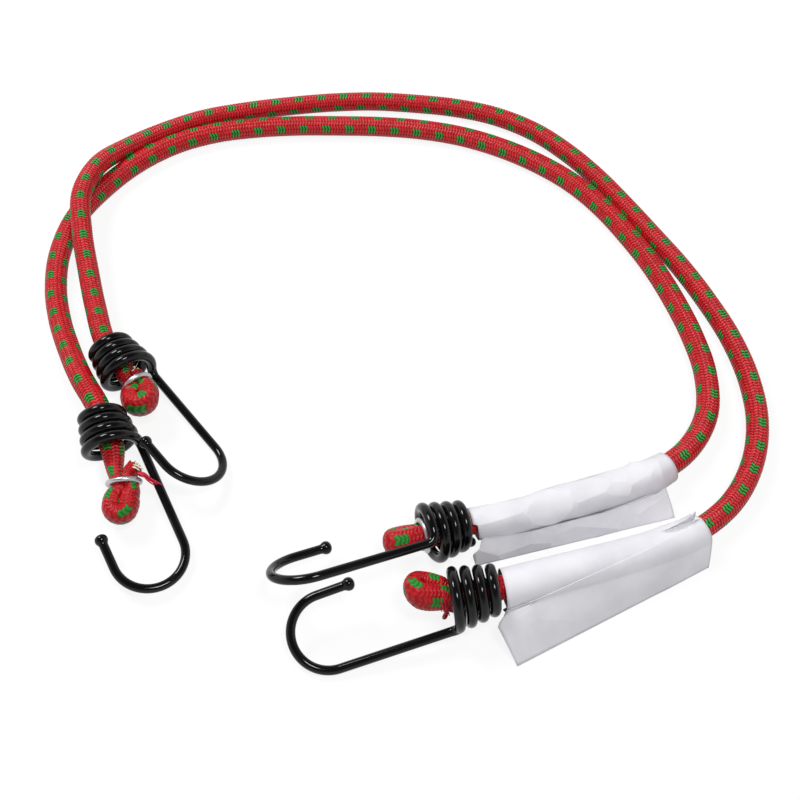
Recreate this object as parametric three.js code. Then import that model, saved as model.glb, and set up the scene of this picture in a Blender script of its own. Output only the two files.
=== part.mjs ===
// A matched pair of hooked bungee cords, laid out on a table as a loose double loop.
// Millimetres, +Z up, origin on the table under the middle of the pair.
import * as THREE from 'three';

// Cord: a braided sheath over a core of rubber threads
const CORD_DIAMETER = 8;
const SHEATH_WALL = 0.8;
const FIT_GAP = 0.3;
const UNDERSIDE_FLAT = CORD_DIAMETER / 10;
const CORD_SIDES = 10;
const FOLD_SIDES = 8;
const CORE_SIDES = 6;
const STEP_LENGTH = 12;

// Doubled end: the cord folds back on itself and a wire ring clamps both legs
const BULB_HALF_WIDTH = 6.4;
const BULB_HALF_DEPTH = 5;
const BUNDLE_RADIUS = 4.1;
const CREASE = 0.7;
const BULB_LENGTH = 12.8;
const PRESS_RUN = 6;
const LEG_FLATNESS = 0.8;
const SWELL_RUN = 2;
const RING_WIRE = 1.9;
const RING_GAP = 1.4;
const RING_SIDES = 6;
const RING_STEPS = 18;
const FOLD_STEPS = 8;
const LEAD_STEPS = 3;

// Hook: one coated wire, wound into a cone round the cord and bent to a J
const WIRE_DIAMETER = 3.2;
const COIL_TURNS = 3.75;
const COIL_PITCH = 3.9;
const COIL_GRIP_CLEARANCE = 0.5;
const SHANK_CLEARANCE = 0.7;
const NECK_BEND = 3;
const SHANK_LENGTH = 35.4;
const SHANK_SPLAY = 3.9;
const HOOK_BEND = 11.6;
const HOOK_TURN = 178.5;
const TIP_LENGTH = 12.3;
const TIP_DIAMETER = 4.3;
const WIRE_SIDES = 8;
const COIL_STEPS = 12;
const NECK_STEPS = 4;
const HOOK_STEPS = 12;

// Bead at the hook's tip: distance back from the tip and radius, as shares of the bead's own
const BEAD_PROFILE = [[0.75, 0.93], [0.45, 1], [0.15, 0.8], [0, 0.4]];

// Paper label wrapped round the cord beside one hook, with a loose flap
const PAPER = 0.35;
const WRAP_FAR_RADIUS = 5.4;
const WRAP_HOOK_RADIUS = 7;
const LABEL_STATIONS = 7;
const WRAP_STEPS = 12;
const FLAP_STEPS = 4;
const FLAP_BELLY = 0.8;
const LABEL_OPENING = 40;

// Cuts across the cord and the label's edge, behind the narrow end of a coil
const CUT_BEHIND_COIL = 2;
const LABEL_BEHIND_COIL = 1.2;

const CORD_RADIUS = CORD_DIAMETER / 2;
const WIRE_RADIUS = WIRE_DIAMETER / 2;
const LAY_HEIGHT = CORD_RADIUS - UNDERSIDE_FLAT;
const COIL_LENGTH = COIL_TURNS * COIL_PITCH;
const THROAT_RADIUS = CORD_RADIUS + COIL_GRIP_CLEARANCE + WIRE_RADIUS;
const MOUTH_RADIUS = BULB_HALF_WIDTH + SHANK_CLEARANCE + WIRE_RADIUS;
const MOUTH_HEIGHT = MOUTH_RADIUS + WIRE_RADIUS;
const COIL_BACK = COIL_LENGTH + WIRE_RADIUS;
const UP = new THREE.Vector3(0, 0, 1);

// Where each hook lies: mouth of its coil, heading, tilt down and turn about the cord. Then its doubled
// end: turn of the fold, place of the ring past the mouth, tail left behind it, lean aside and upward
const ENDS = {
  outer_left: {
    x: -90.8, y: -21.9, lift: 0.3, yaw: -52.5, tilt: 3.8, turn: -34,
    fold: 0, ring: 4.4, tail: 4, aside: -20, upward: 9,
  },
  outer_front: {
    x: 19.3, y: -105.4, lift: 0.4, yaw: -166.8, tilt: 5, turn: -28,
    fold: 0, ring: 1.4, tail: 4, aside: -22, upward: 15,
  },
  inner_left: {
    x: -92.5, y: -51.8, lift: 0.2, yaw: -66.8, tilt: 8.2, turn: -8,
    fold: 0, ring: 14, tail: 6.5, aside: -25, upward: 0,
  },
  inner_front: {
    x: 11.3, y: -83.3, lift: 0.3, yaw: -160, tilt: -7.6, turn: 46,
    fold: 50, ring: 1, tail: 4, aside: -8, upward: 0,
  },
};

// Routes as laid, from the left coil to the front one: x, y and the lift off the table
const ROUTES = {
  outer: [
    [-108.1, 8.4, 6.2], [-113.3, 25.1, 6.2], [-117.7, 42.5, 7.8], [-119.5, 61.2, 8.7],
    [-115.9, 78.7, 7], [-107.2, 92.9, 3], [-94.8, 103.6, 0.6], [-79.6, 110.9, 0],
    [-62.7, 115.9, 0], [-44.5, 119.2, 0], [-26, 121.5, 0], [-7.9, 122.2, 0],
    [9.4, 120.8, 0], [26.3, 118.3, 0], [43, 113.2, 0], [58.6, 104.1, 0],
    [71.5, 91.7, 0], [82.5, 77.5, 0], [92.2, 62.6, 0], [101.1, 47.2, 0],
    [109.3, 31.8, 0], [116.6, 15.8, 0], [122.7, -1, 0], [126.3, -18.8, 0],
    [126.4, -36.3, 0], [121.9, -53.2, 0], [112.6, -68.2, 0.3], [99.1, -79.4, 1.4],
    [82.9, -86.6, 3.2], [65.5, -92.4, 5.2], [49.3, -97.6, 7.2],
  ],
  inner: [
    [-106.9, -24.1, 7.8], [-114.2, -9.7, 4.4], [-120.9, 6, 1.4], [-125.3, 21.9, 0.2],
    [-126.6, 38.8, 0], [-122.7, 56.2, 0], [-113.8, 72.4, 0], [-102.1, 86.3, 0],
    [-88, 96.7, 0], [-72.4, 103.2, 0], [-55.9, 106.4, 0], [-39, 107.6, 0],
    [-21.7, 107.6, 0], [-4.6, 107.1, 0], [12.1, 105.3, 0], [28.6, 101.4, 0],
    [44.4, 94.8, 0], [59.1, 85.9, 0], [71.9, 75.1, 0], [82.2, 62.4, 0],
    [90.7, 48.2, 0], [98.4, 32.7, 0], [105, 16, 0], [109.8, -0.9, 0],
    [111.9, -17.2, 0], [109.3, -33.7, 0], [101, -47.8, 0.4], [88.1, -58, 1.5],
    [71.9, -65.1, 3], [54.8, -70.9, 4.6], [40.3, -75.9, 6],
  ],
};

// Which end of each cord stretches and by what length of cord, the length of its label, and the label's
// flap at its two ends: how far it runs out and where round the cord it leaves
const CORDS = {
  outer: {
    stretchEnd: 'front',
    stretchLength: 50,
    labelLength: 65,
    flap: { far: 8, farAngle: 50, hook: 17, hookAngle: 10 },
  },
  inner: {
    stretchEnd: 'left',
    stretchLength: 32,
    labelLength: 67,
    flap: { far: 8, farAngle: 0, hook: 8, hookAngle: 0 },
  },
};

const MATERIALS = {
  sheath: new THREE.MeshStandardMaterial({ color: 0xc0182a, roughness: 0.75, metalness: 0 }),
  core: new THREE.MeshStandardMaterial({ color: 0xe6d3b0, roughness: 0.7, metalness: 0 }),
  hook: new THREE.MeshStandardMaterial({ color: 0x0b0b0d, roughness: 0.25, metalness: 0 }),
  ring: new THREE.MeshStandardMaterial({ color: 0xb9bcc0, roughness: 0.3, metalness: 1 }),
  label: new THREE.MeshStandardMaterial({ color: 0xeeedf0, roughness: 0.85, metalness: 0 }),
};

const radians = (degrees) => THREE.MathUtils.degToRad(degrees);

// A smooth path whose section never rolls: the section's first axis always points down
class LaidCurve extends THREE.Curve {
  constructor(source, from, to) {
    super();
    this.source = source;
    this.from = from;
    this.to = to;
  }

  getPoint(t, target = new THREE.Vector3()) {
    this.source.getPointAt(this.from + (this.to - this.from) * t, target);
    return target.setZ(Math.max(target.z, LAY_HEIGHT));
  }

  computeFrenetFrames(segments) {
    const tangents = [];
    const normals = [];
    const binormals = [];
    for (let i = 0; i <= segments; i += 1) {
      const tangent = this.getTangentAt(i / segments);
      const side = new THREE.Vector3().crossVectors(UP, tangent).normalize();
      tangents.push(tangent);
      normals.push(new THREE.Vector3().crossVectors(side, tangent).normalize());
      binormals.push(side);
    }
    return { tangents, normals, binormals };
  }
}

// Round section with its underside pressed flat
function cordSection(radius, flatAt, sides) {
  const points = [];
  for (let i = 0; i < sides; i += 1) {
    const angle = ((i + 0.5) / sides) * Math.PI * 2;
    const down = radius * Math.cos(angle);
    const side = radius * Math.sin(angle);
    const pressed = down > flatAt ? Math.sign(side) * Math.sqrt(radius ** 2 - flatAt ** 2) : side;
    points.push(new THREE.Vector2(Math.min(down, flatAt), pressed));
  }
  return points;
}

function sheathTube(curve) {
  const shape = new THREE.Shape(cordSection(CORD_RADIUS, LAY_HEIGHT, CORD_SIDES));
  const bore = cordSection(CORD_RADIUS - SHEATH_WALL, LAY_HEIGHT - SHEATH_WALL, CORD_SIDES);
  shape.holes.push(new THREE.Path(bore));
  return extrudeAlong(shape, curve);
}

function coreRod(curve) {
  const inset = SHEATH_WALL + FIT_GAP;
  const section = cordSection(CORD_RADIUS - inset, LAY_HEIGHT - inset, CORE_SIDES);
  return extrudeAlong(new THREE.Shape(section), curve);
}

function extrudeAlong(shape, curve) {
  const steps = Math.max(3, Math.ceil(curve.getLength() / STEP_LENGTH));
  return new THREE.ExtrudeGeometry(shape, { steps, extrudePath: curve, bevelEnabled: false });
}

// Join a row of equal loops of points into a closed tube; a second row of loops hollows it
function joinLoops(outer, inner) {
  const count = outer[0].length;
  const rows = outer.length;
  const positions = [];
  const indices = [];
  const addRow = (loop) => loop.forEach((p) => positions.push(p.x, p.y, p.z));
  const quad = (a, b, c, d) => indices.push(a, b, c, a, c, d);
  outer.forEach(addRow);
  for (let r = 0; r < rows - 1; r += 1) {
    for (let i = 0; i < count; i += 1) {
      const j = (i + 1) % count;
      quad(r * count + i, r * count + j, (r + 1) * count + j, (r + 1) * count + i);
    }
  }
  const last = (rows - 1) * count;
  if (inner) {
    const base = rows * count;
    inner.forEach(addRow);
    for (let r = 0; r < rows - 1; r += 1) {
      for (let i = 0; i < count; i += 1) {
        const j = (i + 1) % count;
        quad(base + r * count + j, base + r * count + i, base + (r + 1) * count + i, base + (r + 1) * count + j);
      }
    }
    for (let i = 0; i < count; i += 1) {
      const j = (i + 1) % count;
      quad(i, base + i, base + j, j);
      quad(last + j, base + last + j, base + last + i, last + i);
    }
  } else {
    for (let i = 1; i < count - 1; i += 1) {
      indices.push(0, i + 1, i);
      indices.push(last, last + i, last + i + 1);
    }
  }
  const geometry = new THREE.BufferGeometry();
  geometry.setAttribute('position', new THREE.Float32BufferAttribute(positions, 3));
  geometry.setIndex(indices);
  geometry.computeVertexNormals();
  return geometry;
}

function tangentsOf(points) {
  return points.map((p, i) => {
    const before = points[Math.max(0, i - 1)];
    const after = points[Math.min(points.length - 1, i + 1)];
    return new THREE.Vector3().subVectors(after, before).normalize();
  });
}

// Round wire along a row of points, carried without twist
function wireTube(points, radii, sides) {
  const tangents = tangentsOf(points);
  let normal = new THREE.Vector3().crossVectors(tangents[0], UP);
  if (normal.length() < 0.1) normal = new THREE.Vector3().crossVectors(tangents[0], new THREE.Vector3(1, 0, 0));
  const loops = points.map((centre, k) => {
    normal.addScaledVector(tangents[k], -normal.dot(tangents[k])).normalize();
    const binormal = new THREE.Vector3().crossVectors(tangents[k], normal);
    return Array.from({ length: sides }, (_, i) => {
      const angle = ((i + 0.5) / sides) * Math.PI * 2;
      return centre.clone()
        .addScaledVector(normal, radii[k] * Math.cos(angle))
        .addScaledVector(binormal, radii[k] * Math.sin(angle));
    });
  });
  return joinLoops(loops);
}

// Least clearance between turns of a wound wire, measured on its points
function leastSelfGap(points, apart) {
  let least = Infinity;
  for (let i = 0; i < points.length; i += 1) {
    for (let j = i + apart; j < points.length; j += 1) {
      least = Math.min(least, points[i].distanceTo(points[j]) - WIRE_DIAMETER);
    }
  }
  return least;
}

// Frame of an end: x along the cord towards the hook, y level, turned about x
function endFrame(end, turn) {
  const group = new THREE.Group();
  group.rotation.order = 'ZYX';
  group.rotation.set(radians(turn), radians(end.tilt), radians(end.yaw));
  group.position.set(end.x, end.y, MOUTH_HEIGHT + end.lift);
  group.updateMatrixWorld();
  return group;
}

const inFrame = (frame, x, y, z) => new THREE.Vector3(x, y, z).applyMatrix4(frame.matrixWorld);

// Wire of the hook in its own frame: cone, neck, shank, bend and tip with its bead
function hookWire() {
  const points = [];
  const radii = [];
  const add = (x, y, z, radius = WIRE_RADIUS) => {
    points.push(new THREE.Vector3(x, y, z));
    radii.push(radius);
  };
  const neckAngle = Math.asin(NECK_BEND / MOUTH_RADIUS);
  const coilSteps = Math.round(COIL_TURNS * COIL_STEPS);
  for (let i = 0; i <= coilSteps; i += 1) {
    const along = i / coilSteps;
    const angle = neckAngle + (1 - along) * COIL_TURNS * Math.PI * 2;
    const radius = THREE.MathUtils.lerp(THROAT_RADIUS, MOUTH_RADIUS, along);
    add((along - 1) * COIL_LENGTH, radius * Math.cos(angle), radius * Math.sin(angle));
  }
  const coilPoints = points.length;
  const leave = points[coilPoints - 1].clone();
  const fall = new THREE.Vector3(0, Math.sin(neckAngle), -Math.cos(neckAngle));
  for (let i = 1; i <= NECK_STEPS; i += 1) {
    const angle = (i / NECK_STEPS) * Math.PI / 2;
    const p = leave.clone().addScaledVector(fall, NECK_BEND * Math.sin(angle));
    add(p.x + NECK_BEND * (1 - Math.cos(angle)), p.y, p.z);
  }
  const start = points[points.length - 1];
  const splay = radians(SHANK_SPLAY);
  const shankEnd = new THREE.Vector2(
    start.x + SHANK_LENGTH * Math.cos(splay),
    start.y + SHANK_LENGTH * Math.sin(splay),
  );
  add((start.x + shankEnd.x) / 2, (start.y + shankEnd.y) / 2, start.z);
  const bendCentre = new THREE.Vector2(
    shankEnd.x + HOOK_BEND * Math.sin(splay),
    shankEnd.y - HOOK_BEND * Math.cos(splay),
  );
  for (let i = 0; i <= HOOK_STEPS; i += 1) {
    const angle = Math.PI / 2 + splay - radians(HOOK_TURN) * (i / HOOK_STEPS);
    add(bendCentre.x + HOOK_BEND * Math.cos(angle), bendCentre.y + HOOK_BEND * Math.sin(angle), start.z);
  }
  const bendEnd = points[points.length - 1].clone();
  const back = splay - radians(HOOK_TURN);
  const addTip = (run, radius) => {
    add(bendEnd.x + run * Math.cos(back), bendEnd.y + run * Math.sin(back), start.z, radius);
  };
  addTip(TIP_LENGTH - TIP_DIAMETER, WIRE_RADIUS);
  BEAD_PROFILE.forEach(([behind, radius]) => {
    addTip(TIP_LENGTH - behind * TIP_DIAMETER, radius * TIP_DIAMETER / 2);
  });
  return { points, radii, coilPoints };
}

// Where the tail of a doubled end stops and its cord is still round, before the coil's mouth
const tailStop = (end) => end.ring - RING_WIRE / 2 - FIT_GAP - end.tail;
const roundUntil = (end) => Math.min(0, tailStop(end) - PRESS_RUN);

// Centreline of a doubled end in world places, with the half width and half depth of its section
function foldPath(lay, fromArc, toArc, end) {
  const frame = endFrame(end, end.fold);
  const stations = [];
  for (let i = 0; i <= LEAD_STEPS; i += 1) {
    const arc = THREE.MathUtils.lerp(fromArc, toArc, i / LEAD_STEPS);
    const tangent = lay.getTangentAt(arc).multiplyScalar(Math.sign(toArc - fromArc));
    stations.push({ point: lay.getPointAt(arc), tangent, halfWidth: CORD_RADIUS, halfDepth: CORD_RADIUS });
  }
  const legOffset = (BUNDLE_RADIUS + CREASE / 2) / 2;
  const legHalf = BUNDLE_RADIUS - legOffset;
  const legDepth = BUNDLE_RADIUS * LEG_FLATNESS;
  const bend = (BULB_HALF_WIDTH + CREASE / 2) / 2;
  const bulbHalf = BULB_HALF_WIDTH - bend;
  const bendX = end.ring + BULB_LENGTH - BULB_HALF_WIDTH;
  const ringHalf = RING_WIRE / 2 + FIT_GAP;
  const local = (x, y, halfWidth, halfDepth) => {
    const past = Math.max(0, x - end.ring - ringHalf);
    const side = y + past * Math.tan(radians(end.aside));
    const height = past * Math.tan(radians(end.upward));
    stations.push({ point: inFrame(frame, x, side, height), halfWidth, halfDepth });
  };
  const legOut = [
    [tailStop(end), legOffset + CREASE / 2, legHalf + CREASE / 4, legDepth],
    [end.ring - ringHalf, legOffset, legHalf, legDepth],
    [end.ring + ringHalf, legOffset, legHalf, legDepth],
    [bendX - SWELL_RUN, bend, bulbHalf, BULB_HALF_DEPTH],
  ];
  legOut.forEach(([x, y, w, d]) => local(x, -y, w, d));
  for (let i = 0; i <= FOLD_STEPS; i += 1) {
    const angle = -Math.PI / 2 + (i / FOLD_STEPS) * Math.PI;
    local(bendX + bend * Math.cos(angle), bend * Math.sin(angle), bulbHalf, BULB_HALF_DEPTH);
  }
  legOut.reverse().forEach(([x, y, w, d]) => local(x, y, w, d));
  const planeNormal = new THREE.Vector3(0, 0, 1).transformDirection(frame.matrixWorld);
  return { stations, planeNormal };
}

// Loops of the doubled end, drawn in by an inset for the sheath's inside and for the core
function foldLoops({ stations, planeNormal }, inset, sides) {
  const tangents = tangentsOf(stations.map((s) => s.point));
  return stations.map(({ point, tangent: given, halfWidth, halfDepth }, k) => {
    const tangent = given ?? tangents[k];
    const across = new THREE.Vector3().crossVectors(planeNormal, tangent).normalize();
    const deep = new THREE.Vector3().crossVectors(tangent, across);
    return Array.from({ length: sides }, (_, i) => {
      const angle = ((i + 0.5) / sides) * Math.PI * 2;
      return point.clone()
        .addScaledVector(across, (halfWidth - inset) * Math.cos(angle))
        .addScaledVector(deep, (halfDepth - inset) * Math.sin(angle));
    });
  });
}

// Crimp ring: an open wire hoop closed round both legs of the doubled end
function crimpRing(end) {
  const frame = endFrame(end, end.fold);
  const radius = BUNDLE_RADIUS + 2 * FIT_GAP + RING_WIRE / 2;
  const opening = (RING_GAP + RING_WIRE) / radius;
  const points = [];
  for (let i = 0; i <= RING_STEPS; i += 1) {
    const angle = -Math.PI / 2 + opening / 2 + (i / RING_STEPS) * (Math.PI * 2 - opening);
    points.push(inFrame(frame, end.ring, radius * Math.cos(angle), radius * Math.sin(angle)));
  }
  return wireTube(points, points.map(() => RING_WIRE / 2), RING_SIDES);
}

// Paper label: hung loosely round the cord, its free edge running out to a flap on the table
function paperLabel(lay, farArc, hookArc, flaps) {
  const loops = [];
  for (let k = 0; k < LABEL_STATIONS; k += 1) {
    const share = k / (LABEL_STATIONS - 1);
    const arc = THREE.MathUtils.lerp(farArc, hookArc, share);
    const radius = THREE.MathUtils.lerp(WRAP_FAR_RADIUS, WRAP_HOOK_RADIUS, share);
    const sag = radius - PAPER / 2 - CORD_RADIUS - FIT_GAP;
    const flap = THREE.MathUtils.lerp(flaps.far, flaps.hook, share);
    const flapAngle = radians(THREE.MathUtils.lerp(flaps.farAngle, flaps.hookAngle, share));
    const centre = lay.getPointAt(arc);
    const along = lay.getTangentAt(arc);
    const outward = new THREE.Vector3().crossVectors(UP, along).normalize();
    const upward = new THREE.Vector3().crossVectors(along, outward).normalize();
    const table = PAPER - centre.z;
    const middle = [];
    const wrapStart = flapAngle - radians(LABEL_OPENING);
    const wrapSweep = radians(360 - LABEL_OPENING);
    for (let i = 0; i <= WRAP_STEPS; i += 1) {
      const angle = wrapStart - wrapSweep * (i / WRAP_STEPS);
      const height = radius * Math.sin(angle) - sag;
      middle.push(new THREE.Vector2(radius * Math.cos(angle), Math.max(height, table)));
    }
    const root = middle[middle.length - 1];
    const edge = new THREE.Vector2(root.x + flap, table);
    for (let i = 1; i <= FLAP_STEPS; i += 1) {
      const run = i / FLAP_STEPS;
      const belly = Math.sin(run * Math.PI) * FLAP_BELLY;
      middle.push(new THREE.Vector2(
        THREE.MathUtils.lerp(root.x, edge.x, run),
        THREE.MathUtils.lerp(root.y, edge.y, run) + belly,
      ));
    }
    const faceOf = (side) => middle.map((p, i) => {
      const before = middle[Math.max(0, i - 1)];
      const after = middle[Math.min(middle.length - 1, i + 1)];
      const run = after.clone().sub(before).normalize();
      return centre.clone()
        .addScaledVector(outward, p.x - run.y * side)
        .addScaledVector(upward, p.y + run.x * side);
    });
    loops.push([...faceOf(-PAPER / 2), ...faceOf(PAPER / 2).reverse()]);
  }
  return sheetFromLoops(loops);
}

// Close a row of flat loops, each two faces of one sheet, into a solid
function sheetFromLoops(loops) {
  const count = loops[0].length;
  const rows = loops.length;
  const positions = [];
  const indices = [];
  loops.forEach((loop) => loop.forEach((p) => positions.push(p.x, p.y, p.z)));
  for (let r = 0; r < rows - 1; r += 1) {
    for (let i = 0; i < count; i += 1) {
      const j = (i + 1) % count;
      indices.push(r * count + i, r * count + j, (r + 1) * count + j);
      indices.push(r * count + i, (r + 1) * count + j, (r + 1) * count + i);
    }
  }
  const last = (rows - 1) * count;
  for (let i = 0; i < count / 2 - 1; i += 1) {
    const a = i;
    const b = i + 1;
    const c = count - 2 - i;
    const d = count - 1 - i;
    indices.push(a, c, b, a, d, c);
    indices.push(last + a, last + b, last + c, last + a, last + c, last + d);
  }
  const geometry = new THREE.BufferGeometry();
  geometry.setAttribute('position', new THREE.Float32BufferAttribute(positions, 3));
  geometry.setIndex(indices);
  geometry.computeVertexNormals();
  return geometry;
}

function piece(name, geometry, material) {
  const mesh = new THREE.Mesh(geometry, material);
  mesh.name = name;
  return mesh;
}

// Whole route of a cord, from the mouth of its left coil to the mouth of its front coil
function layOf(cord) {
  const left = endFrame(ENDS[`${cord}_left`], 0);
  const front = endFrame(ENDS[`${cord}_front`], 0);
  const points = [
    inFrame(left, 0, 0, 0),
    inFrame(left, -COIL_BACK / 2, 0, 0),
    inFrame(left, -COIL_BACK, 0, 0),
    ...ROUTES[cord].map(([x, y, lift]) => new THREE.Vector3(x, y, LAY_HEIGHT + lift)),
    inFrame(front, -COIL_BACK, 0, 0),
    inFrame(front, -COIL_BACK / 2, 0, 0),
    inFrame(front, 0, 0, 0),
  ];
  const curve = new THREE.CatmullRomCurve3(points, false, 'centripetal');
  curve.arcLengthDivisions = 2000;
  return curve;
}

function buildCord(cord) {
  const { stretchEnd, stretchLength, labelLength, flap } = CORDS[cord];
  const group = new THREE.Group();
  const lay = layOf(cord);
  const length = lay.getLength();
  const arcAt = (distance) => distance / length;
  const cut = COIL_BACK + CUT_BEHIND_COIL;
  const gap = FIT_GAP;
  const runFrom = stretchEnd === 'left' ? cut + stretchLength + gap : cut;
  const runTo = stretchEnd === 'front' ? length - cut - stretchLength - gap : length - cut;
  const stretchFrom = stretchEnd === 'left' ? cut : length - cut - stretchLength;
  const run = new LaidCurve(lay, arcAt(runFrom), arcAt(runTo));
  const stretch = new LaidCurve(lay, arcAt(stretchFrom), arcAt(stretchFrom + stretchLength));
  group.add(piece(`${cord}_sheath`, sheathTube(run), MATERIALS.sheath));
  group.add(piece(`${cord}_core`, coreRod(run), MATERIALS.core));
  group.add(piece(`${cord}_stretch_sheath`, sheathTube(stretch), MATERIALS.sheath));
  group.add(piece(`${cord}_stretch_core`, coreRod(stretch), MATERIALS.core));
  const labelTo = length - COIL_BACK - LABEL_BEHIND_COIL;
  const label = paperLabel(lay, arcAt(labelTo - labelLength), arcAt(labelTo), flap);
  group.add(piece(`${cord}_label`, label, MATERIALS.label));
  for (const side of ['left', 'front']) {
    const name = `${cord}_${side}`;
    const end = ENDS[name];
    const from = side === 'left' ? cut - gap : length - cut + gap;
    const pressed = side === 'left' ? -roundUntil(end) : length + roundUntil(end);
    const path = foldPath(lay, arcAt(from), arcAt(pressed), end);
    const sheath = joinLoops(foldLoops(path, 0, FOLD_SIDES), foldLoops(path, SHEATH_WALL, FOLD_SIDES));
    const core = joinLoops(foldLoops(path, SHEATH_WALL + FIT_GAP, FOLD_SIDES));
    group.add(piece(`${name}_fold_sheath`, sheath, MATERIALS.sheath));
    group.add(piece(`${name}_fold_core`, core, MATERIALS.core));
    group.add(piece(`${name}_ring`, crimpRing(end), MATERIALS.ring));
    const { points, radii, coilPoints } = hookWire();
    const holder = endFrame(end, end.turn);
    holder.add(piece(`${name}_hook`, wireTube(points, radii, WIRE_SIDES), MATERIALS.hook));
    group.add(holder);
    const gapBetweenTurns = leastSelfGap(points.slice(0, coilPoints), COIL_STEPS / 2);
    console.log(`${name}_hook: least gap between turns ${gapBetweenTurns.toFixed(2)} mm`);
  }
  console.log(`${cord} cord: ${length.toFixed(0)} mm between coil mouths`);
  return group;
}

const bungeeCords = new THREE.Group();
bungeeCords.name = 'bungee_cords';
for (const cord of Object.keys(CORDS)) bungeeCords.add(buildCord(cord));

export default bungeeCords;
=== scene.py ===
"""Looks of a matched pair of hooked bungee cords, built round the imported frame."""

import logging
import math
import random
from collections.abc import Callable, Sequence
from dataclasses import dataclass, field
from enum import Enum

import bpy
import numpy as np
from mathutils import Euler, Matrix, Vector


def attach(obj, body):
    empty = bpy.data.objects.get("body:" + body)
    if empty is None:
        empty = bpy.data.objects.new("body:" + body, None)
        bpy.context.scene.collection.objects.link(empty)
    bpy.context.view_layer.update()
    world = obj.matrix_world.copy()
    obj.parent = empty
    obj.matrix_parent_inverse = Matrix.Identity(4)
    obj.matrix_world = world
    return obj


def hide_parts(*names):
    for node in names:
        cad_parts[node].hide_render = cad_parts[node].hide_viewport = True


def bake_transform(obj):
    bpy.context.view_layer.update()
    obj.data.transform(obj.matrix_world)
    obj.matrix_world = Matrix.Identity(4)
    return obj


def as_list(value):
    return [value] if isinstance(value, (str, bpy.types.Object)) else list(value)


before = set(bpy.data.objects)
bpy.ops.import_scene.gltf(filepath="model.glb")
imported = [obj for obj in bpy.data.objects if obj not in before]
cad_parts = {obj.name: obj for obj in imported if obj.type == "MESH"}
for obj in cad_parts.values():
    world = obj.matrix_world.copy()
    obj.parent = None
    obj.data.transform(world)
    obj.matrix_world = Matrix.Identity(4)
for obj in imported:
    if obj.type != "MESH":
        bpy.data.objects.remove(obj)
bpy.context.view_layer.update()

LOG = logging.getLogger("bungee_cords")

MM = 0.001
UP = np.array((0.0, 0.0, 1.0))
FIT_GAP = 0.3
SAMPLES = 40
SHARP_ANGLE = 50.0
MIX_FIRST, MIX_SECOND, MIX_RESULT = 6, 7, 2
MASK_RANGE = (0.3, 0.7)
CLOUD_SCALE = 0.12
PATH_STEP = 1.0

Colour = tuple[float, float, float, float]
Point = tuple[float, float, float]


class Side(Enum):
    """The two ends of a cord."""

    LEFT = "left"
    FRONT = "front"


def smooth(share: np.ndarray | float) -> np.ndarray | float:
    """Ease a share from 0 to 1, held outside."""
    held = np.clip(share, 0.0, 1.0)
    return held * held * (3.0 - 2.0 * held)


def unit(rows: np.ndarray) -> np.ndarray:
    """Rows of vectors brought to length one."""
    return rows / np.linalg.norm(rows, axis=-1, keepdims=True)


def through(points: np.ndarray, spatial: int = 3) -> np.ndarray:
    """Dense rows on the centripetal spline through a row of points.

    Args:
        points: Rows of places, with any other values behind them.
        spatial: How many leading values of a row are its place.

    Returns:
        Rows on the spline, SAMPLES to each span.
    """
    first = 2 * points[0] - points[1]
    last = 2 * points[-1] - points[-2]
    padded = np.vstack([first, points, last])
    share = np.linspace(0.0, 1.0, SAMPLES, endpoint=False)[:, None]
    spans = []
    for p0, p1, p2, p3 in zip(padded, padded[1:], padded[2:], padded[3:]):
        d0, d1, d2 = (
            max(1e-4, math.sqrt(np.linalg.norm((b - a)[:spatial])))
            for a, b in ((p0, p1), (p1, p2), (p2, p3))
        )
        leave = d1 * ((p1 - p0) / d0 - (p2 - p0) / (d0 + d1) + (p2 - p1) / d1)
        reach = d1 * ((p2 - p1) / d1 - (p3 - p1) / (d1 + d2) + (p3 - p2) / d2)
        square = -3 * p1 + 3 * p2 - 2 * leave - reach
        cube = 2 * p1 - 2 * p2 + leave + reach
        spans.append(p1 + leave * share + square * share**2 + cube * share**3)
    return np.vstack([*spans, points[-1:]])


def arcs_of(places: np.ndarray) -> np.ndarray:
    """Length run at each of a row of places, from the first."""
    steps = np.linalg.norm(np.diff(places, axis=0), axis=1)
    return np.concatenate([[0.0], np.cumsum(steps)])


def rows_at(at: np.ndarray, arcs: np.ndarray, rows: np.ndarray) -> np.ndarray:
    """Rows of values read at any arcs of a line.

    Args:
        at: Lengths along the line.
        arcs: Length at each place of the line.
        rows: A row of values for each place.

    Returns:
        A row of values for each length.
    """
    return np.stack([np.interp(at, arcs, column) for column in rows.T], axis=-1)


def headings_of(places: np.ndarray) -> np.ndarray:
    """Unit direction of travel at each of a row of places."""
    return unit(np.gradient(places, axis=0))


def select_only(piece: bpy.types.Object) -> None:
    """Make a piece the only selected and the active object.

    Args:
        piece: The object to select.
    """
    bpy.ops.object.select_all(action="DESELECT")
    piece.select_set(True)
    bpy.context.view_layer.objects.active = piece


def add_piece(name: str, data: bpy.types.ID) -> bpy.types.Object:
    """Link new data to the scene.

    Args:
        name: Name of the object.
        data: Its mesh, curve, lamp or camera.

    Returns:
        The new object, at the origin.
    """
    piece = bpy.data.objects.new(name, data)
    bpy.context.scene.collection.objects.link(piece)
    return piece


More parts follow.
